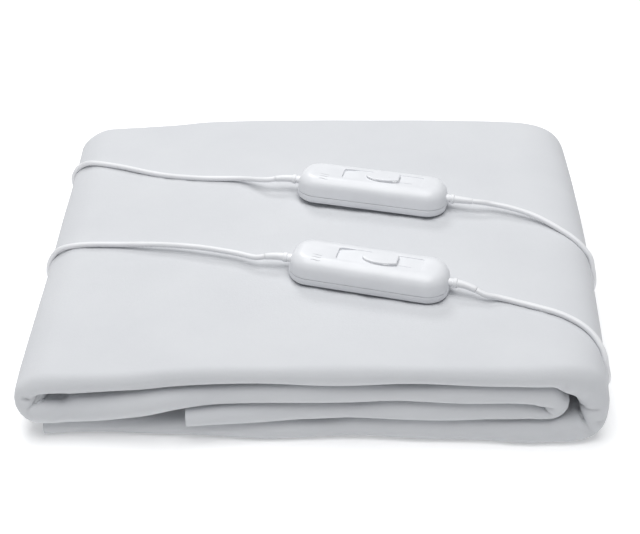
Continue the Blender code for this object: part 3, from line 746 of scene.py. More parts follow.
def placed(name, shape, place, material, node=None, body="pack", slot=None, sharp=38):
    """The finished shape taken to its place, riding on its body and standing for its CAD node."""
    bmesh.ops.remove_doubles(shape, verts=shape.verts, dist=0.001 * MM)
    bmesh.ops.recalc_face_normals(shape, faces=shape.faces)
    bmesh.ops.transform(shape, matrix=place, verts=shape.verts)
    made = mesh_object(name, shape, material)
    made.data.shade_smooth()
    made.data.set_sharp_from_angle(angle=math.radians(sharp))
    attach(made, body)
    if node:
        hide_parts(node)
    return made


for control in CONTROLS:
    shell = soap_bar(0.0, BASE_HEIGHT, BASE_EDGE, SEAM_EDGE, 3)
    name = "lower_shell_" + control.name
    placed(name, shell, places[control.name], shell_plastic, node="base_" + control.name, slot="shell")
print("lower shells made")

# %% [markdown]
# ## Controllers: the track
#
# The knob runs in a shallow track in the upper shell. The track is deepest at its left end, where
# it makes a square-cornered dark step, and it soon rises to almost nothing. The shell's top face is
# inset once, and the inner face, which has the same number of points in each corner, is drawn in
# to the track's outline and extruded down. The floor is then cut across so that it can rise.

# %% The upper shells
TRACK_LENGTH = 66.0 * MM
TRACK_WIDTH = 15.6 * MM
TRACK_CORNER = 2.5 * MM
TRACK_CENTRE = 8.0 * MM
TRACK_START = TRACK_CENTRE - TRACK_LENGTH / 2
TRACK_EDGE = 0.15 * MM
TOP_INSET = 1.0 * MM
# How deep its floor lies, by distance from its left end, in millimetres
Depth = namedtuple("Depth", "along down")
TRACK_FLOOR = [Depth(0.0, 1.75), Depth(3.0, 1.7), Depth(6.0, 1.4), Depth(9.0, 0.95), Depth(12.0, 0.55)]
TRACK_FLOOR += [Depth(15.0, 0.38), Depth(46.0, 0.42), Depth(66.0, 0.5)]


def floor_height(x):
    along = (x - TRACK_START) / MM
    for a, b in zip(TRACK_FLOOR, TRACK_FLOOR[1:]):
        if along <= b.along:
            return SHELL_HEIGHT - (a.down + (b.down - a.down) * smooth_step(along, a.along, b.along)) * MM
    return SHELL_HEIGHT - TRACK_FLOOR[-1].down * MM


def draw_in(face, corner, new_size, new_corner, new_middle):
    """Moves a rounded outline about the origin to another size, corner for corner."""
    half = [max(vert.co[axis] for vert in face.verts) - corner for axis in (0, 1)]
    for vert in face.verts:
        for axis in (0, 1):
            beyond = (abs(vert.co[axis]) - half[axis]) / corner * new_corner
            reach = new_size[axis] / 2 - new_corner + beyond
            vert.co[axis] = math.copysign(reach, vert.co[axis]) + new_middle[axis]


def raise_floor(shape, floor_z):
    for row in TRACK_FLOOR[1:-1]:
        lying = [f for f in shape.faces if all(abs(v.co.z - floor_z) < CLOSE for v in f.verts)]
        cut = [*lying, *{e for f in lying for e in f.edges}, *{v for f in lying for v in f.verts}]
        at = (TRACK_START + row.along * MM, 0.0, 0.0)
        bmesh.ops.bisect_plane(shape, geom=cut, plane_co=at, plane_no=(1.0, 0.0, 0.0))
    for vert in shape.verts:
        if abs(vert.co.z - floor_z) < CLOSE and abs(vert.co.y) < TRACK_WIDTH / 2 + CLOSE:
            vert.co.z = floor_height(vert.co.x)


def narrow(shape):
    """Leans the sides inwards, evenly all round the outline."""
    low = BASE_HEIGHT + SEAM
    for vert in shape.verts:
        share = (vert.co.z - low) / (SHELL_HEIGHT - low)
        half = (SHELL_LENGTH / 2 - SHELL_CORNER, SHELL_WIDTH / 2 - SHELL_CORNER)
        middle = Vector(min(max(vert.co[axis], -half[axis]), half[axis]) for axis in (0, 1))
        outwards = vert.co.xy - middle
        vert.co.xy -= outwards.normalized() * DRAFT * share


def upper_shell():
    shape = soap_bar(BASE_HEIGHT + SEAM, SHELL_HEIGHT, SEAM_EDGE, COVER_EDGE, 10)
    narrow(shape)
    top = next(f for f in shape.faces if all(abs(v.co.z - SHELL_HEIGHT) < CLOSE for v in f.verts))
    bmesh.ops.inset_individual(shape, faces=[top], thickness=TOP_INSET, depth=0.0)
    corner = SHELL_CORNER - COVER_EDGE - DRAFT - TOP_INSET
    draw_in(top, corner, (TRACK_LENGTH, TRACK_WIDTH), TRACK_CORNER, (TRACK_CENTRE, 0.0))
    sunk = bmesh.ops.extrude_face_region(shape, geom=[top])["geom"]
    depth = TRACK_FLOOR[0].down * MM
    low = [item for item in sunk if isinstance(item, bmesh.types.BMVert)]
    bmesh.ops.translate(shape, verts=low, vec=(0.0, 0.0, -depth))
    if top.is_valid:
        bmesh.ops.delete(shape, geom=[top], context="FACES_ONLY")
    raise_floor(shape, SHELL_HEIGHT - depth)
    reach = (TRACK_LENGTH / 2 + CLOSE, TRACK_WIDTH / 2 + CLOSE)
    bevel(shape, level_edges(shape, SHELL_HEIGHT, *reach, TRACK_CENTRE), TRACK_EDGE, 3)
    return shape


for control in CONTROLS:
    name = "upper_shell_" + control.name
    shell = upper_shell()
    placed(name, shell, places[control.name], shell_plastic, node="cover_" + control.name, slot="shell")
    print(name, "made")

# %% [markdown]
# ## Controllers: the knob
#
# The knob is a low oval with its right end cut straight, which is the face that the thumb pushes.
# It starts as a filled circle drawn out into an oval and cut. Its top face is then extruded again
# and again, each time scaled in a little and lifted or lowered, up over the rim and down into the
# hollow for the fingertip. Last, the whole knob rises towards its cut end.
#
# A known fault is left in here. The extrude is given the old face without its edges, and then
# Blender keeps that face, so a flat face stays at each level above the first. Those faces cover the
# hollow, and the top looks flat. Given the edges as well, the extrude takes each old face away.

# %% The knobs
KNOB_LENGTH = 27.4 * MM
KNOB_WIDTH = 14.7 * MM
KNOB_CUT = 0.72  # where the right end is cut, as a share of the oval's half length
KNOB_FOOT = 20.84 * MM  # over the shell's underside
KNOB_SIDES = 72
KNOB_RISE = (0.62, 1.12)  # share of the height at its left and right ends
# Each level is the share of the outline and the height over the foot, in millimetres
Level = namedtuple("Level", "share up")
KNOB_LEVELS = [
    Level(1.0, 1.35),
    Level(0.99, 1.75),
    Level(0.965, 2.08),
    Level(0.925, 2.3),
    Level(0.87, 2.4),
    Level(0.80, 2.38),
    Level(0.70, 2.22),
    Level(0.56, 1.98),
    Level(0.40, 1.8),
    Level(0.2, 1.7),
]


def knob():
    shape = bmesh.new()
    half = KNOB_LENGTH / (1 + KNOB_CUT)
    made = bmesh.ops.create_circle(shape, cap_ends=True, segments=KNOB_SIDES, radius=1.0)["verts"]
    bmesh.ops.scale(shape, verts=made, vec=(half, KNOB_WIDTH / 2, 1.0))
    whole = [*shape.verts, *shape.edges, *shape.faces]
    cut = {"plane_co": (half * KNOB_CUT, 0.0, 0.0), "plane_no": (1.0, 0.0, 0.0)}
    bmesh.ops.bisect_plane(shape, geom=whole, clear_outer=True, **cut)
    top = shape.faces[:]
    before = 1.0
    for level in [Level(1.0, 0.0), *KNOB_LEVELS]:
        if level.up:
            moved = bmesh.ops.extrude_face_region(shape, geom=top)["geom"]
            top = [item for item in moved if isinstance(item, bmesh.types.BMFace)]
        ring = {vert for face in top for vert in face.verts}
        bmesh.ops.scale(shape, verts=list(ring), vec=(level.share / before,) * 3)
        for vert in ring:
            vert.co.z = level.up * MM
        before = level.share
    low, high = KNOB_RISE
    for vert in shape.verts:
        vert.co.z *= low + (high - low) * (vert.co.x + half) / KNOB_LENGTH
    shift = (TRACK_CENTRE + half - KNOB_LENGTH / 2, 0.0, KNOB_FOOT)
    bmesh.ops.translate(shape, verts=shape.verts, vec=shift)
    return shape


for control in CONTROLS:
    body = "knob_" + control.name
    rides = {"node": body, "body": body, "slot": "knob"}
    placed("slider_" + control.name, knob(), places[control.name], knob_plastic, **rides)
print("knobs made")

# %% [markdown]
# ## Controllers: the small raised details
#
# At the left end three small wavy strokes stand out of the shell: the usual sign for warmth. Right
# of the knob a low rib on the track's floor points along its way. The strokes are thin round curves
# sunk into the surface, the ends deeper than the middle, which is how such a mark leaves the mould.
# The nearest one lies on the shell's rounded edge, so each point's height is read from that edge.
# The rib is a small bar with round corners. The strokes' plastic is darker than the shell's: painted shade
# along the raised strokes.

# %% Heat mark and pointer rib
STROKES = 3
STROKE_LENGTH = 7.6 * MM
STROKE_PITCH = 3.1 * MM
STROKE_WAVE = 0.32 * MM
STROKE_RADIUS = 0.34 * MM
STROKE_POINTS = 25
MARK_MIDDLE = (-39.0 * MM, -9.6 * MM)
RIB_SIZE = (12.0 * MM, 0.9 * MM, 0.24 * MM)
RIB_MIDDLE = (26.5 * MM, -3.9 * MM)
RIB_CORNER = 0.4 * MM


def rounded_line(name, lines, radius, material, smooth=4):
    """A curve object with a round section and one open spline for each line of points."""
    data = bpy.data.curves.new(name, "CURVE")
    data.dimensions = "3D"
    data.bevel_depth = radius
    data.bevel_resolution = smooth
    data.use_fill_caps = True
    for line in lines:
        spline = data.splines.new("POLY")
        spline.points.add(len(line) - 1)
        for point, place in zip(spline.points, line):
            point.co = (*place, 1.0)
        spline.use_smooth = True
    data.materials.append(material)
    return add(bpy.data.objects.new(name, data))


def edge_height(y):
    """How high the shell's top is at a place that may lie on its rounded long edge."""
    start = SHELL_WIDTH / 2 - DRAFT - COVER_EDGE
    over = min(max(abs(y) - start, 0.0), COVER_EDGE)
    return SHELL_HEIGHT - COVER_EDGE + math.sqrt(COVER_EDGE**2 - over**2)


def heat_mark(place):
    lines = []
    for row in range(STROKES):
        y = MARK_MIDDLE[1] + (row - (STROKES - 1) / 2) * STROKE_PITCH
        line = []
        for k in range(STROKE_POINTS):
            t = k / (STROKE_POINTS - 1)
            wave = STROKE_WAVE * math.sin(2 * math.pi * t)
            sink = STROKE_RADIUS * (0.9 - 0.75 * math.sin(math.pi * t) ** 0.5)
            x = MARK_MIDDLE[0] + (t - 0.5) * STROKE_LENGTH
            line.append(place @ Vector((x, y + wave, edge_height(y + wave) - sink)))
        lines.append(line)
    return lines


for control in CONTROLS:
    place = places[control.name]
    # the mark's darker plastic is painted shade along its raised strokes
    mark = rounded_line("heat_mark_" + control.name, heat_mark(place), STROKE_RADIUS, mark_plastic_painted_shade)
    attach(mark, "pack")
    rib = bmesh.new()
    rib_height = floor_height(RIB_MIDDLE[0]) + RIB_SIZE[2] / 2 - CLOSE
    bar(rib, RIB_SIZE, RIB_CORNER, (*RIB_MIDDLE, rib_height))
    placed("pointer_rib_" + control.name, rib, place, shell_plastic, slot="shell")
print("marks and ribs made")

# %% [markdown]
# ## Cords: the strain reliefs
#
# Where a cord leaves a shell it passes through a collar with a ring and a smooth taper, which bends
# with it so that it can't kink. Such a round piece is a profile spun about its own axis. The spun
# piece lies along X, and each of its points is then carried from its distance along X to the same
# distance along the curve that the relief really follows.

# %% Spin a profile and bend it along a line
GAP = 0.3 * MM
CORD = 4.4 * MM
CORD_HEIGHT = 9.5 * MM
COLLAR = 5.5 * MM
TAPER = 14.5 * MM
SPIN_STEPS = 32

# Distance from the shell and radius, in millimetres
RELIEF_PROFILE = [(-1.3, 3.3), (1.2, 3.3), (1.5, 3.0), (2.1, 3.0), (2.35, 3.5), (2.7, 3.8), (5.0, 3.8)]
RELIEF_PROFILE += [(5.3, 3.55), (5.5, 3.1), (8.0, 2.98), (11.0, 2.82), (14.5, 2.68), (18.0, 2.56)]
RELIEF_PROFILE += [(19.7, 2.5), (20.0, 2.3)]

# How far the cord has pulled the relief's tip down, and towards the viewer, in millimetres
Relief = namedtuple("Relief", "cord control side droop sway")
RELIEFS = [
    Relief("mains_front", "front", 1, 2.2, 1.6),
    Relief("blanket_front", "front", -1, 1.4, 1.2),
    Relief("mains_rear", "rear", 1, 0.2, -0.6),
    Relief("blanket_rear", "rear", -1, 1.4, 1.2),
]


def spun(profile):
    """A profile of distances and radii in millimetres, spun about the X axis into a closed piece."""
    shape = bmesh.new()
    points = [(profile[0][0], 0.0), *profile, (profile[-1][0], 0.0)]
    verts = [shape.verts.new((x * MM, radius * MM, 0.0)) for x, radius in points]
    line = [shape.edges.new(pair) for pair in zip(verts, verts[1:])]
    turn = {"cent": (0.0, 0.0, 0.0), "axis": (1.0, 0.0, 0.0), "dvec": (0.0, 0.0, 0.0)}
    whole = {"angle": 2 * math.pi, "steps": SPIN_STEPS, "use_merge": True, "use_duplicate": False}
    bmesh.ops.spin(shape, geom=[*verts, *line], **turn, **whole)
    bmesh.ops.remove_doubles(shape, verts=shape.verts, dist=0.005 * MM)
    return shape


def bend(shape, middle_at):
    """Carries each point from its place along X to that distance along a curve."""
    for vert in shape.verts:
        point, along = middle_at(vert.co.x)
        base = Vector((math.copysign(1.0, along.x), 0.0, 0.0))
        turn = base.rotation_difference(along)
        vert.co = point + turn @ Vector((0.0, vert.co.y, vert.co.z))


def relief_line(relief, s):
    """Middle line of a strain relief, s from the shell, about its controller."""
    t = max(s - COLLAR, 0.0) / TAPER
    side, sway, droop = relief.side, relief.sway * MM, relief.droop * MM
    point = Vector((side * (SHELL_LENGTH / 2 + GAP + s), -sway * t * t, CORD_HEIGHT - droop * t * t))
    return point, Vector((side, -2 * sway * t / TAPER, -2 * droop * t / TAPER)).normalized()


for relief in RELIEFS:
    shape = spun(RELIEF_PROFILE)
    bend(shape, lambda s: relief_line(relief, s))
    node = "relief_" + relief.cord
    placed("strain_" + node, shape, places[relief.control], cord_sheath, node=node, slot="cord_plastic")
print(len(RELIEFS), "strain reliefs made")

# %% [markdown]
# ## Cords: their routes
#
# A cord has a fixed length and lies where gravity and the cloth put it. Each route is a list of
# places, the same ones that the CAD model holds, and the cord is a smooth line through them which
# leaves both ends straight. Where it bends over the pack's edge it is then pressed a little into
# the felt. It is a curve with a round section, not a mesh, because a curve keeps its section when
# its points move.

# %% The routes, in millimetres
STRAIGHT = 7.0 * MM
CORD_STEP = 3.0 * MM

ROUTES = {
    "blanket_front": [
        (-62.5, -43.6, 74.0),
        (-91.0, -35.0, 72.8),
        (-123.0, -25.6, 68.3),
        (-156.0, -18.3, 62.8),
        (-187.0, -16.0, 60.4),
        (-204.6, -14.8, 55.5),
        (-213.4, -14.0, 48.0),
        (-217.9, -13.4, 39.0),
        (-219.4, -13.0, 31.0),
    ],
    "blanket_rear": [
        (-65.8, 68.0, 69.9),
        (-100.0, 73.4, 66.4),
        (-135.5, 84.4, 62.5),
        (-172.0, 100.4, 60.0),
        (-197.9, 110.5, 57.0),
        (-207.9, 115.6, 51.6),
        (-214.4, 118.4, 45.8),
        (-218.7, 119.6, 38.0),
        (-219.7, 120.0, 31.0),
    ],
    "mains_front": [
        (138.0, -94.6, 72.2),
        (153.0, -99.6, 71.4),
        (167.0, -105.2, 71.3),
        (181.0, -111.9, 71.3),
        (194.6, -120.2, 69.0),
        (203.9, -127.8, 64.6),
        (210.3, -136.0, 57.7),
        (214.3, -141.6, 49.5),
        (217.2, -142.0, 40.0),
        (219.3, -136.4, 28.0),
        (219.4, -126.0, 15.5),
        (217.4, -112.0, 6.4),
        (215.2, -95.0, 2.7),
        (214.4, -72.0, 2.4),
        (214.6, 0.0, 2.4),
        (215.6, 60.0, 2.4),
        (216.2, 110.0, 2.4),
        (216.0, 140.0, 2.4),
        (212.4, 161.6, 2.4),
        (193.5, 176.2, 2.4),
        (165.0, 179.2, 2.4),
        (100.0, 178.6, 2.4),
        (50.0, 178.6, 2.45),
    ],
    "mains_rear": [
        (140.0, 23.0, 77.2),
        (156.0, 18.4, 76.4),
        (171.5, 11.4, 75.2),
        (183.0, 4.0, 73.6),
        (194.0, -3.8, 71.0),
        (203.4, -10.4, 67.8),
        (211.4, -16.0, 62.8),
        (218.3, -20.6, 55.0),
        (222.2, -23.6, 45.0),
        (224.2, -23.4, 34.0),
        (224.4, -18.0, 21.0),
        (223.2, -8.0, 10.4),
        (221.2, 8.0, 3.8),
        (220.0, 30.0, 2.4),
        (220.6, 60.0, 2.4),
        (221.2, 100.0, 2.4),
        (221.2, 142.0, 2.4),
        (218.0, 168.0, 2.4),
        (207.8, 190.0, 2.4),
    ],
}


def through(start, first, points, end, last):
    """A smooth line through the route, which starts and ends straight."""
    route = [start, start + first * STRAIGHT]
    route += [Vector(point) * MM + ORIGIN for point in points]
    route += [end - last * STRAIGHT, end]
    units = [first]
    for before, after in zip(route, route[2:]):
        units.append((after - before).normalized())
    units.append(last)
    made = [route[0]]
    for i in range(len(route) - 1):
        a, b = route[i], route[i + 1]
        length = (b - a).length
        steps = max(1, round(length / CORD_STEP))
        for k in range(1, steps + 1):
            t = k / steps
            bend_a = units[i] * (t**3 - 2 * t**2 + t) * length
            bend_b = units[i + 1] * (t**3 - t**2) * length
            made.append(a * (2 * t**3 - 3 * t**2 + 1) + b * (3 * t**2 - 2 * t**3) + bend_a + bend_b)
    return made


def start_of(relief):
    """Where a cord comes out of its strain relief, and which way."""
    place = places[relief.control]
    point, along = relief_line(relief, COLLAR + TAPER)
    along = (place.to_3x3() @ along).normalized()
    return place @ point + along * GAP, along


def line_points(cord):
    """The places of a cord's middle line."""
    return [Vector(point.co[:3]) for point in cord.data.splines[0].points]


PRESS = 1.9 * MM  # how deep a cord pulls itself into the felt of the pack's two sides
PRESS_X = (203 * MM, 211 * MM)  # how far out that starts and is whole
PRESS_HEIGHTS = (6 * MM, 18 * MM, 44 * MM, 60 * MM)  # where it starts, is whole, fades and ends


def pressed(line):
    """Where a cord bends over the pack's edge it pulls itself into the felt."""
    for point in line:
        low, deep, shallow, high = PRESS_HEIGHTS
        share = smooth_step(abs(point.x), *PRESS_X)
        share *= smooth_step(point.z, low, deep) * (1 - smooth_step(point.z, shallow, high))
        point.x -= math.copysign(PRESS * share, point.x)
    return line


def length_of(line):
    return sum((b - a).length for a, b in zip(line, line[1:]))


print("routes of", ", ".join(ROUTES))

# %% [markdown]
# ## Cords: into the cloth
#
# At the cut end of the bottom layer each blanket lead goes into the felt through a small flexible
# sleeve, with a flange that is sewn to the cloth. It is a spun profile too, bent up along an arc.

# %% The entries and the blanket leads
ENTRY_X = STRIP[0].x * MM
ENTRY_HEIGHT = 7.0 * MM
ENTRY_BEND = 20.0 * MM
ENTRY_LENGTH = 22.0 * MM
# Distance from the cut end and radius, in millimetres: a flange, then ribs with grooves between them
ENTRY_PROFILE = [(0.0, 4.9), (0.3, 5.4), (1.5, 5.4), (1.9, 5.1), (2.2, 4.0), (4.2, 3.85), (4.5, 3.5)]
ENTRY_PROFILE += [(5.3, 3.5), (5.6, 3.7), (7.8, 3.55), (8.1, 3.2), (8.9, 3.2), (9.2, 3.4), (11.4, 3.25)]
ENTRY_PROFILE += [(11.7, 2.95), (12.5, 2.95), (12.8, 3.1), (15.2, 2.98), (18.5, 2.8), (21.6, 2.58)]
ENTRY_PROFILE += [(22.0, 2.3)]


def entry_line(y, s):
    angle = s / ENTRY_BEND
    x = ENTRY_X - GAP - ENTRY_BEND * math.sin(angle)
    point = Vector((x, y, ENTRY_HEIGHT + ENTRY_BEND * (1 - math.cos(angle)))) + ORIGIN
    return point, Vector((-math.cos(angle), 0.0, math.sin(angle)))


def blanket_lead(relief):
    start, along = start_of(relief)
    points = ROUTES[relief.cord]
    y = points[-1][1] * MM
    sleeve = spun(ENTRY_PROFILE)
    bend(sleeve, lambda s: entry_line(y, s))
    entry = "entry_" + relief.control
    entry_piece = placed("sleeve_" + entry, sleeve, Matrix(), cord_sheath, node=entry, slot="cord_plastic")
    end, outwards = entry_line(y, ENTRY_LENGTH)
    line = pressed(through(start, along, points, end + outwards * GAP, -outwards))
    lead = rounded_line("blanket_lead_" + relief.control, [line], CORD / 2, cord_sheath, smooth=6)
    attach(lead, "pack")
    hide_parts("lead_" + relief.control)
    print(lead.name, f"{length_of(line):.3f} m")


for relief in RELIEFS:
    if relief.side < 0:
        blanket_lead(relief)

# %% [markdown]
# ## Cords: the coils
#
# The mains cords' spare length is put away in two round coils behind the pack. A real coil isn't a
# stack of rings: it is one cord that climbs from turn to turn. Here six turns lie in two columns
# of three. The cord keeps each turn's place for most of the way round and shifts to the next one
# over a short arc, where the other turns shift too. The shifts follow each other in the order that
# leaves each place before another stretch needs it.

# %% The way round a coil
Coil = namedtuple("Coil", "name x y radius way joins leaves")
COILS = [
    Coil("front", 10.0, 210.0, 22.5 * MM, -1, -105.0, -110.0),
    Coil("rear", 160.0, 213.5, 26.2 * MM, 1, 31.0, 110.0),
]
TURN = 4.5 * MM  # from the middle of one turn to the next
COIL_LIFT = 1.0 * MM
COIL_STEP = 6.0  # degrees
RUN_ON = 16.5 * MM  # from where the cord leaves the coil to its last straight stretch
PLUG_HEIGHT = 13.7 * MM
# Column (1 outer, -1 inner) and row of each turn, in the order in which the cord takes them
TURNS = [(1, 0), (-1, 0), (-1, 1), (-1, 2), (1, 2), (1, 1)]
# Where the shift to each turn starts, in degrees past the joint
SHIFTS = [99.0, 99.0, 66.0, 66.0, 33.0, 0.0]
SHIFT_ARC = 110.0


def turn_place(coil, index):
    """Radius and height of a turn. Before the first one the cord still lies outside the coil."""
    if index < 0:
        return coil.radius + TURN * 1.5, COIL_LIFT + TURN / 2
    column, row = TURNS[index]
    return coil.radius + column * TURN / 2, COIL_LIFT + TURN * (row + 0.5)


def coil_line(coil):
    """The cord's middle line round the coil, from where it joins to where it leaves."""
    middle = Vector((coil.x * MM, coil.y * MM, 0.0)) + ORIGIN
    travel = (coil.leaves - coil.joins) * coil.way % 360.0
    total = travel + 360.0 * len(TURNS)
    steps = round(total / COIL_STEP)
    made = []
    for k in range(steps + 1):
        travelled = total * k / steps
        radius, height = turn_place(coil, -1)
        for index, shift in enumerate(SHIFTS):
            starts = travel + 360.0 * index + shift
            t = smooth_step(travelled, starts, starts + SHIFT_ARC)
            before, after = turn_place(coil, index - 1), turn_place(coil, index)
            radius += (after[0] - before[0]) * t
            height += (after[1] - before[1]) * t
        angle = math.radians(coil.joins + coil.way * travelled)
        made.append(middle + Vector((radius * math.cos(angle), radius * math.sin(angle), height)))
    return made


for coil in COILS:
    print(coil.name, "coil holds", f"{length_of(coil_line(coil)):.3f} m")

# %% [markdown]
# ## Cords: the plugs
#
# A flat two-pin plug is narrow where the fingers hold it and wide at the face with the pins. Its
# body is a rounded box, very thin at first, whose end face is extruded again and again and scaled
# to the next width and height. The shallow grooves of the grip are three pairs of such steps. The
# pins are spun, and the half next to the plug is insulated, so it has a second material.

# %% The plug's sizes
LAST_STRETCH = 12.0 * MM
PLUG_RELIEF = 20.0 * MM
PLUG_LENGTH = 34.0 * MM
PLUG_REAR = (15.0 * MM, 10.5 * MM)
PLUG_FACE = (35.0 * MM, 13.7 * MM)
PLUG_CORNER = 4.5 * MM
PLUG_START = 0.1 * MM  # how thin the box is before it is extruded
PLUG_REAR_EDGE = 1.2 * MM
PIN_SPACING = 18.6 * MM
PIN_SLEEVE = 10.0 * MM
# Distance and radius, in millimetres, from the plug's face and from the relief's thin end
PIN_PROFILE = [(0.0, 1.98), (9.7, 1.98), (10.0, 1.85), (17.2, 1.85), (18.3, 1.55), (18.8, 1.1), (19.0, 0.6)]
PLUG_RELIEF_PROFILE = [(0.0, 2.35), (0.4, 2.55), (2.4, 2.7), (2.7, 2.5), (3.5, 2.5), (3.8, 2.8)]
PLUG_RELIEF_PROFILE += [(6.0, 2.95), (6.3, 2.7), (7.1, 2.7), (7.4, 3.05), (9.6, 3.2), (9.9, 2.95)]
PLUG_RELIEF_PROFILE += [(10.7, 2.95), (11.0, 3.3), (13.4, 3.5), (13.7, 3.2), (14.5, 3.2), (14.8, 3.6)]
PLUG_RELIEF_PROFILE += [(17.0, 3.8), (20.0, 4.0)]

# Share of the length, share of the way from the rear size to the face's, inset in millimetres
Slice = namedtuple("Slice", "along grown inset")
PLUG_SLICES = [
    Slice(0.012, 0.0, 0.7),
    Slice(0.035, 0.0, 0.25),
    Slice(0.07, 0.0, 0.0),
    Slice(0.13, 0.03, 0.0),
    Slice(0.145, 0.03, 0.45),
    Slice(0.175, 0.04, 0.45),
    Slice(0.19, 0.05, 0.0),
    Slice(0.25, 0.08, 0.0),
    Slice(0.265, 0.09, 0.45),
    Slice(0.295, 0.11, 0.45),
    Slice(0.31, 0.12, 0.0),
    Slice(0.37, 0.19, 0.0),
    Slice(0.385, 0.21, 0.45),
    Slice(0.415, 0.26, 0.45),
    Slice(0.43, 0.29, 0.0),
    Slice(0.50, 0.46, 0.0),
    Slice(0.57, 0.68, 0.0),
    Slice(0.64, 0.87, 0.0),
    Slice(0.71, 0.98, 0.0),
    Slice(0.78, 1.0, 0.0),
    Slice(0.955, 1.0, 0.0),
    Slice(0.98, 1.0, 0.3),
    Slice(0.993, 1.0, 0.8),
    Slice(1.0, 1.0, 1.5),
]


print(len(PLUG_SLICES), "slices of a plug")

# %% Plug bodies, their reliefs and pins
def plug_body():
    """Built upright, then laid along X."""
    shape = bmesh.new()
    size = [side - 2 * PLUG_REAR_EDGE for side in PLUG_REAR]
    bar(shape, (*size, PLUG_START), PLUG_CORNER - PLUG_REAR_EDGE, (0.0, 0.0, PLUG_START / 2))
    top = next(f for f in shape.faces if all(v.co.z > PLUG_START / 2 for v in f.verts))
    for row in PLUG_SLICES:
        moved = bmesh.ops.extrude_face_region(shape, geom=[top])["geom"]
        if top.is_valid:
            bmesh.ops.delete(shape, geom=[top], context="FACES_ONLY")
        top = next(item for item in moved if isinstance(item, bmesh.types.BMFace))
        before = size
        size = [a + (b - a) * row.grown - 2 * row.inset * MM for a, b in zip(PLUG_REAR, PLUG_FACE)]
        bmesh.ops.scale(shape, verts=top.verts, vec=(size[0] / before[0], size[1] / before[1], 1.0))
        for vert in top.verts:
            vert.co.z = row.along * PLUG_LENGTH
    upright = Matrix(((0, 0, 1), (1, 0, 0), (0, 1, 0)))
    bmesh.ops.transform(shape, matrix=upright.to_4x4(), verts=shape.verts)
    return shape


def leaving(coil):
    """Where the cord leaves its coil for the plug, and which way."""
    angle = math.radians(coil.leaves)
    radius = coil.radius + TURN / 2
    point = Vector((coil.x * MM + radius * math.cos(angle), coil.y * MM + radius * math.sin(angle), 0.0))
    return point + ORIGIN, coil.way * Vector((-math.sin(angle), math.cos(angle), 0.0))


def plug_pieces(coil):
    point, along = leaving(coil)
    place = Matrix.Rotation(math.atan2(along.y, along.x), 4, "Z")
    place.translation = point + along * (RUN_ON + LAST_STRETCH + GAP) + Vector((0.0, 0.0, PLUG_HEIGHT / 2))
    name = coil.name
    node = "relief_plug_" + name
    taper = spun(PLUG_RELIEF_PROFILE)
    made = [placed("strain_" + node, taper, place, cord_sheath, node, slot="cord_plastic")]
    ahead = place @ Matrix.Translation((PLUG_RELIEF + GAP, 0.0, 0.0))
    node = "plug_" + name
    made.append(placed("plug_body_" + name, plug_body(), ahead, plug_plastic, node, slot="plug_plastic"))
    for which, side in (("a", -1), ("b", 1)):
        pin = spun(PIN_PROFILE)
        for face in pin.faces:
            face.material_index = int(face.calc_center_median().x < PIN_SLEEVE)
        at = (PLUG_RELIEF + PLUG_LENGTH + 2 * GAP, side * PIN_SPACING / 2, 0.0)
        ahead = place @ Matrix.Translation(at)
        node = f"pin_{which}_{name}"
        piece = placed("contact_" + node, pin, ahead, pin_metal, node, slot="pins")
        piece.data.materials.append(plug_plastic)
        made.append(piece)
    return made


plugs = {coil.name: plug_pieces(coil) for coil in COILS}
print("plug pieces:", sum(len(pieces) for pieces in plugs.values()))

# %% [markdown]
# ## Cords: each mains cord as one piece
#
# The route, the coil and the last stretch to the plug are joined into one curve, so the cord has
# its whole real length in it. The strap round each coil keeps its CAD shape, which is right as it
# is, and gets a woven finish.

# %% The mains cords
STRETCH_POINTS = 10
STRETCH_FALL = 0.7  # the share of the last stretch on which the cord comes down from the coil


def mains_line(coil, relief):
    start, along = start_of(relief)
    wound = coil_line(coil)
    angle = math.radians(coil.joins)
    inwards = coil.way * Vector((-math.sin(angle), math.cos(angle), 0.0))
    line = pressed(through(start, along, ROUTES[relief.cord], wound[0], inwards)) + wound[1:]
    point, onwards = leaving(coil)
    high, low = line[-1].z, PLUG_HEIGHT / 2
    for k in range(1, STRETCH_POINTS + 1):
        t = k / STRETCH_POINTS
        level = Vector((point.x, point.y, high + (low - high) * smooth_step(t, 0.0, STRETCH_FALL)))
        line.append(level + onwards * (RUN_ON + LAST_STRETCH) * t)
    return line


def mains_cord(coil, relief):
    name, line = coil.name, mains_line(coil, relief)
    cord = rounded_line("mains_cord_" + name, [line], CORD / 2, cord_sheath, smooth=6)
    tie = frame["nodes"]["tie_" + name]
    tie.data.materials.clear()
    tie.data.materials.append(strap_cloth)
    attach(cord, "pack")
    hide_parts("mains_" + name, "coil_" + name, "tail_" + name)
    print(cord.name, f"{length_of(line):.3f} m")


for coil in COILS:
    mains_cord(coil, next(relief for relief in RELIEFS if relief.cord == "mains_" + coil.name))

# %% [markdown]
# ## The folded blanket: the flat sheet
#
# The sheet starts as a flat grid lying in its own UV coordinates. Its lines are moved to their
# places, and the map is written down while it is still flat, so that the felt's pattern later
# follows every fold.

# %% The sheet and its map
def flat_sheet(along, across_width):
    """A grid with its lines at the given places, and a UV map in metres."""
    shape = bmesh.new()
    columns, rows = len(along) - 1, len(across_width) - 1
    bmesh.ops.create_grid(shape, x_segments=columns, y_segments=rows, size=0.5)
    for vert in shape.verts:
        column, row = round((vert.co.x + 0.5) * columns), round((vert.co.y + 0.5) * rows)
        vert.co = (along[column], across_width[row], 0.0)
    return shape


def write_map(shape):
    cloth_map = shape.loops.layers.uv.new("cloth")
    for face in shape.faces:
        for loop in face.loops:
            loop[cloth_map].uv = loop.vert.co.xy


sheet = flat_sheet(along_lines, across_lines)
write_map(sheet)
print(f"a flat sheet of {len(sheet.faces)} faces")

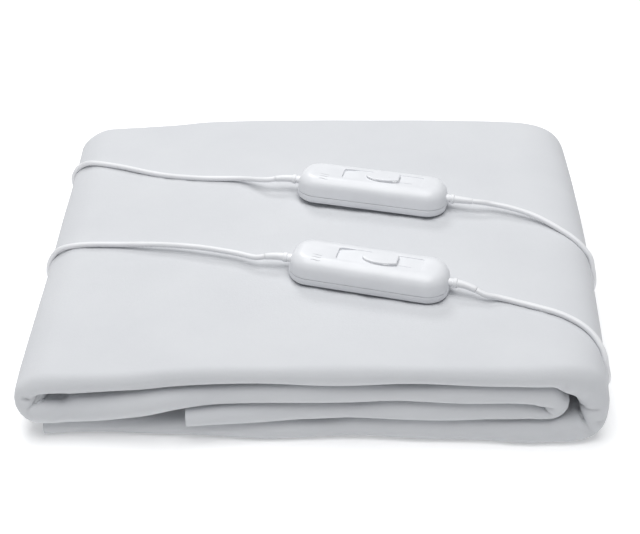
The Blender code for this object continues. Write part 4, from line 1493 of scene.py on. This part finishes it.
# %% [markdown]
# ## The folded blanket: folding and creasing it
#
# Now every point is taken to its place in the pack by the one rule. Felt that was folded by hand
# isn't quite even. Its outer plies get slow waves from noise, stronger on the rolls at the front,
# and the sharp creases there are drawn one by one, each a short line with a depth and a width. They
# could be sculpted instead, but as lines they stay readable and easy to move.

# %% Rumples and creases
RUMPLE = 0.7 * MM  # soft unevenness of the whole cloth
ROLL_RUMPLE = 2.3 * MM  # and of the front rolls
RUMPLE_SCALE = (15.0, 12.0, 30.0)  # per metre
ROLL_Y = (130 * MM, 165 * MM)  # how far in front of the middle the rolls start and are whole

# Creases on the front of the pack, seen from the front: x and z of both ends, depth, half width.
# A negative depth is a ridge.
Crease = namedtuple("Crease", "x1 z1 x2 z2 depth width")
CREASES = [
    Crease(160.0, 35.6, 173.0, 26.4, 2.4, 1.7),  # the inner fold's spiral
    Crease(160.5, 38.6, 171.0, 33.5, -1.2, 2.2),
    Crease(194.0, 29.8, 207.0, 31.3, 2.0, 1.4),  # right wrap
    Crease(202.5, 21.6, 211.5, 19.3, 1.7, 1.3),
    Crease(190.0, 27.5, 203.5, 10.8, 2.0, 1.7),
    Crease(195.5, 13.9, 204.0, 9.0, 1.5, 1.4),
    Crease(174.5, 53.5, 182.0, 54.9, 1.3, 1.4),
    Crease(184.0, 47.0, 190.0, 48.4, 1.3, 1.3),
    Crease(-201.0, 38.8, -175.0, 38.4, 7.0, 3.6),  # the hollow of the left fold
    Crease(-197.0, 38.0, -209.5, 24.0, 2.4, 1.5),
    Crease(-210.0, 37.9, -203.0, 36.8, 1.6, 1.2),
    Crease(-207.8, 40.2, -204.8, 35.8, 1.3, 1.1),
    Crease(-179.0, 35.5, -194.0, 19.5, 1.0, 2.6),
    Crease(-166.0, 33.5, -181.0, 19.5, 0.9, 2.8),
]
CREASE_FRONT = -158 * MM
CREASE_FADE = (0.25, 0.62)  # the share of its length from its middle where a crease fades and ends


def along_crease(crease, x, z):
    """How far a point, in millimetres, lies from a crease, and 1 to 0 from its middle to its ends."""
    run_x, run_z = crease.x2 - crease.x1, crease.z2 - crease.z1
    share = ((x - crease.x1) * run_x + (z - crease.z1) * run_z) / (run_x**2 + run_z**2)
    near = min(max(share, 0.0), 1.0)
    away = math.hypot(x - crease.x1 - near * run_x, z - crease.z1 - near * run_z)
    return away, 1 - smooth_step(abs(share - 0.5), *CREASE_FADE)


def rumpled(vert):
    """How far a point of the cloth stands out of its even place, along its normal."""
    place = vert.co - ORIGIN
    front = smooth_step(-place.y, *ROLL_Y)
    waves = noise.noise(Vector(place[i] * RUMPLE_SCALE[i] for i in range(3)))
    out = (RUMPLE + (ROLL_RUMPLE - RUMPLE) * front) * waves
    if place.y < CREASE_FRONT:
        x, z = place.x / MM, place.z / MM
        for crease in CREASES:
            away, middle = along_crease(crease, x, z)
            out -= crease.depth * MM * middle * math.exp(-((away / crease.width) ** 2))
    return out


def fold_sheet(shape):
    """Folds the sheet, then rumples its two outer plies, whose normals point into the pack."""
    outer_plies = [vert for vert in shape.verts if vert.co.y < SHEET_WIDTH / 2]
    for vert in shape.verts:
        vert.co = folded(vert.co.x, vert.co.y)
    shape.normal_update()
    moves = [vert.normal * -rumpled(vert) for vert in outer_plies]
    for vert, move in zip(outer_plies, moves):
        vert.co += move
        vert.co.z = max(vert.co.z, PLY / 2)


fold_sheet(sheet)
print(f"folded {len(sheet.verts)} points, with {len(CREASES)} creases")

# %% [markdown]
# ## The folded blanket: what lies on it
#
# A controller and a cord sink a little into soft felt, which rises round them and closes the gap
# under their edges. A cloth simulation with collisions would find that by itself. Here the distance
# from each point of the felt to the controllers' outlines and to the nearest point of a cord says
# how far it rises, and a point that a cord would cut is pushed back until the two only touch.

# %% Raise the felt round the controllers and the cords
NESTLE_CORD = 0.7 * MM
NESTLE_CONTROL = 1.3 * MM
NESTLE_START = (-2.0 * MM, 0.5 * MM)  # from a controller's outline, where the felt rises to that
NESTLE_REACH = 11.0 * MM
TOUCHING = (CORD + PLY) / 2  # from a cord's middle to the middle of the felt under it


def outline_distance(place, point):
    """How far a point lies outside a controller's outline, seen from above, and its height."""
    local = place.inverted() @ point
    corner_x = abs(local.x) - SHELL_LENGTH / 2 + SHELL_CORNER
    corner_y = abs(local.y) - SHELL_WIDTH / 2 + SHELL_CORNER
    return math.hypot(max(corner_x, 0.0), max(corner_y, 0.0)) - SHELL_CORNER, local.z


def nestle(shape):
    """Raises the felt round the controllers and along the cords that press into it."""
    cords = [piece for piece in bpy.data.objects if piece.name.startswith(("blanket_lead", "mains_cord"))]
    points = [point for cord in cords for point in line_points(cord)]
    tree = kdtree.KDTree(len(points))
    for index, point in enumerate(points):
        tree.insert(point, index)
    tree.balance()
    for vert in shape.verts:
        rise = 0.0
        for place in places.values():
            away, height = outline_distance(place, vert.co)
            if abs(height) < NESTLE_REACH:
                inside = smooth_step(away, *NESTLE_START)
                fading = 1 - smooth_step(away, NESTLE_START[1], NESTLE_REACH)
                rise = max(rise, NESTLE_CONTROL * inside * fading)
        near, _, distance = tree.find(vert.co)
        if distance < NESTLE_REACH:
            rise = max(rise, NESTLE_CORD * (1 - smooth_step(distance, CORD, NESTLE_REACH)))
        if rise > 0.0:
            toward = vert.normal if vert.normal.dot(near - vert.co) > 0.0 else -vert.normal
            vert.co += toward * rise
        away = vert.co - near
        if away.length < TOUCHING:
            vert.co = near + away.normalized() * TOUCHING


nestle(sheet)
print("the felt lies against its controllers and cords")

# %% [markdown]
# ## The folded blanket: its thickness
#
# So far the sheet is a surface without thickness, in the middle of the felt. A Solidify modifier
# gives it thickness, half to each side.

# %% Give it thickness
for face in sheet.faces:
    face.smooth = True
blanket = mesh_object("folded_blanket", sheet, felt)
thickness = blanket.modifiers.new("felt", "SOLIDIFY")
thickness.thickness = PLY
thickness.offset = 0.0
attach(blanket, "pack")
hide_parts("blanket")
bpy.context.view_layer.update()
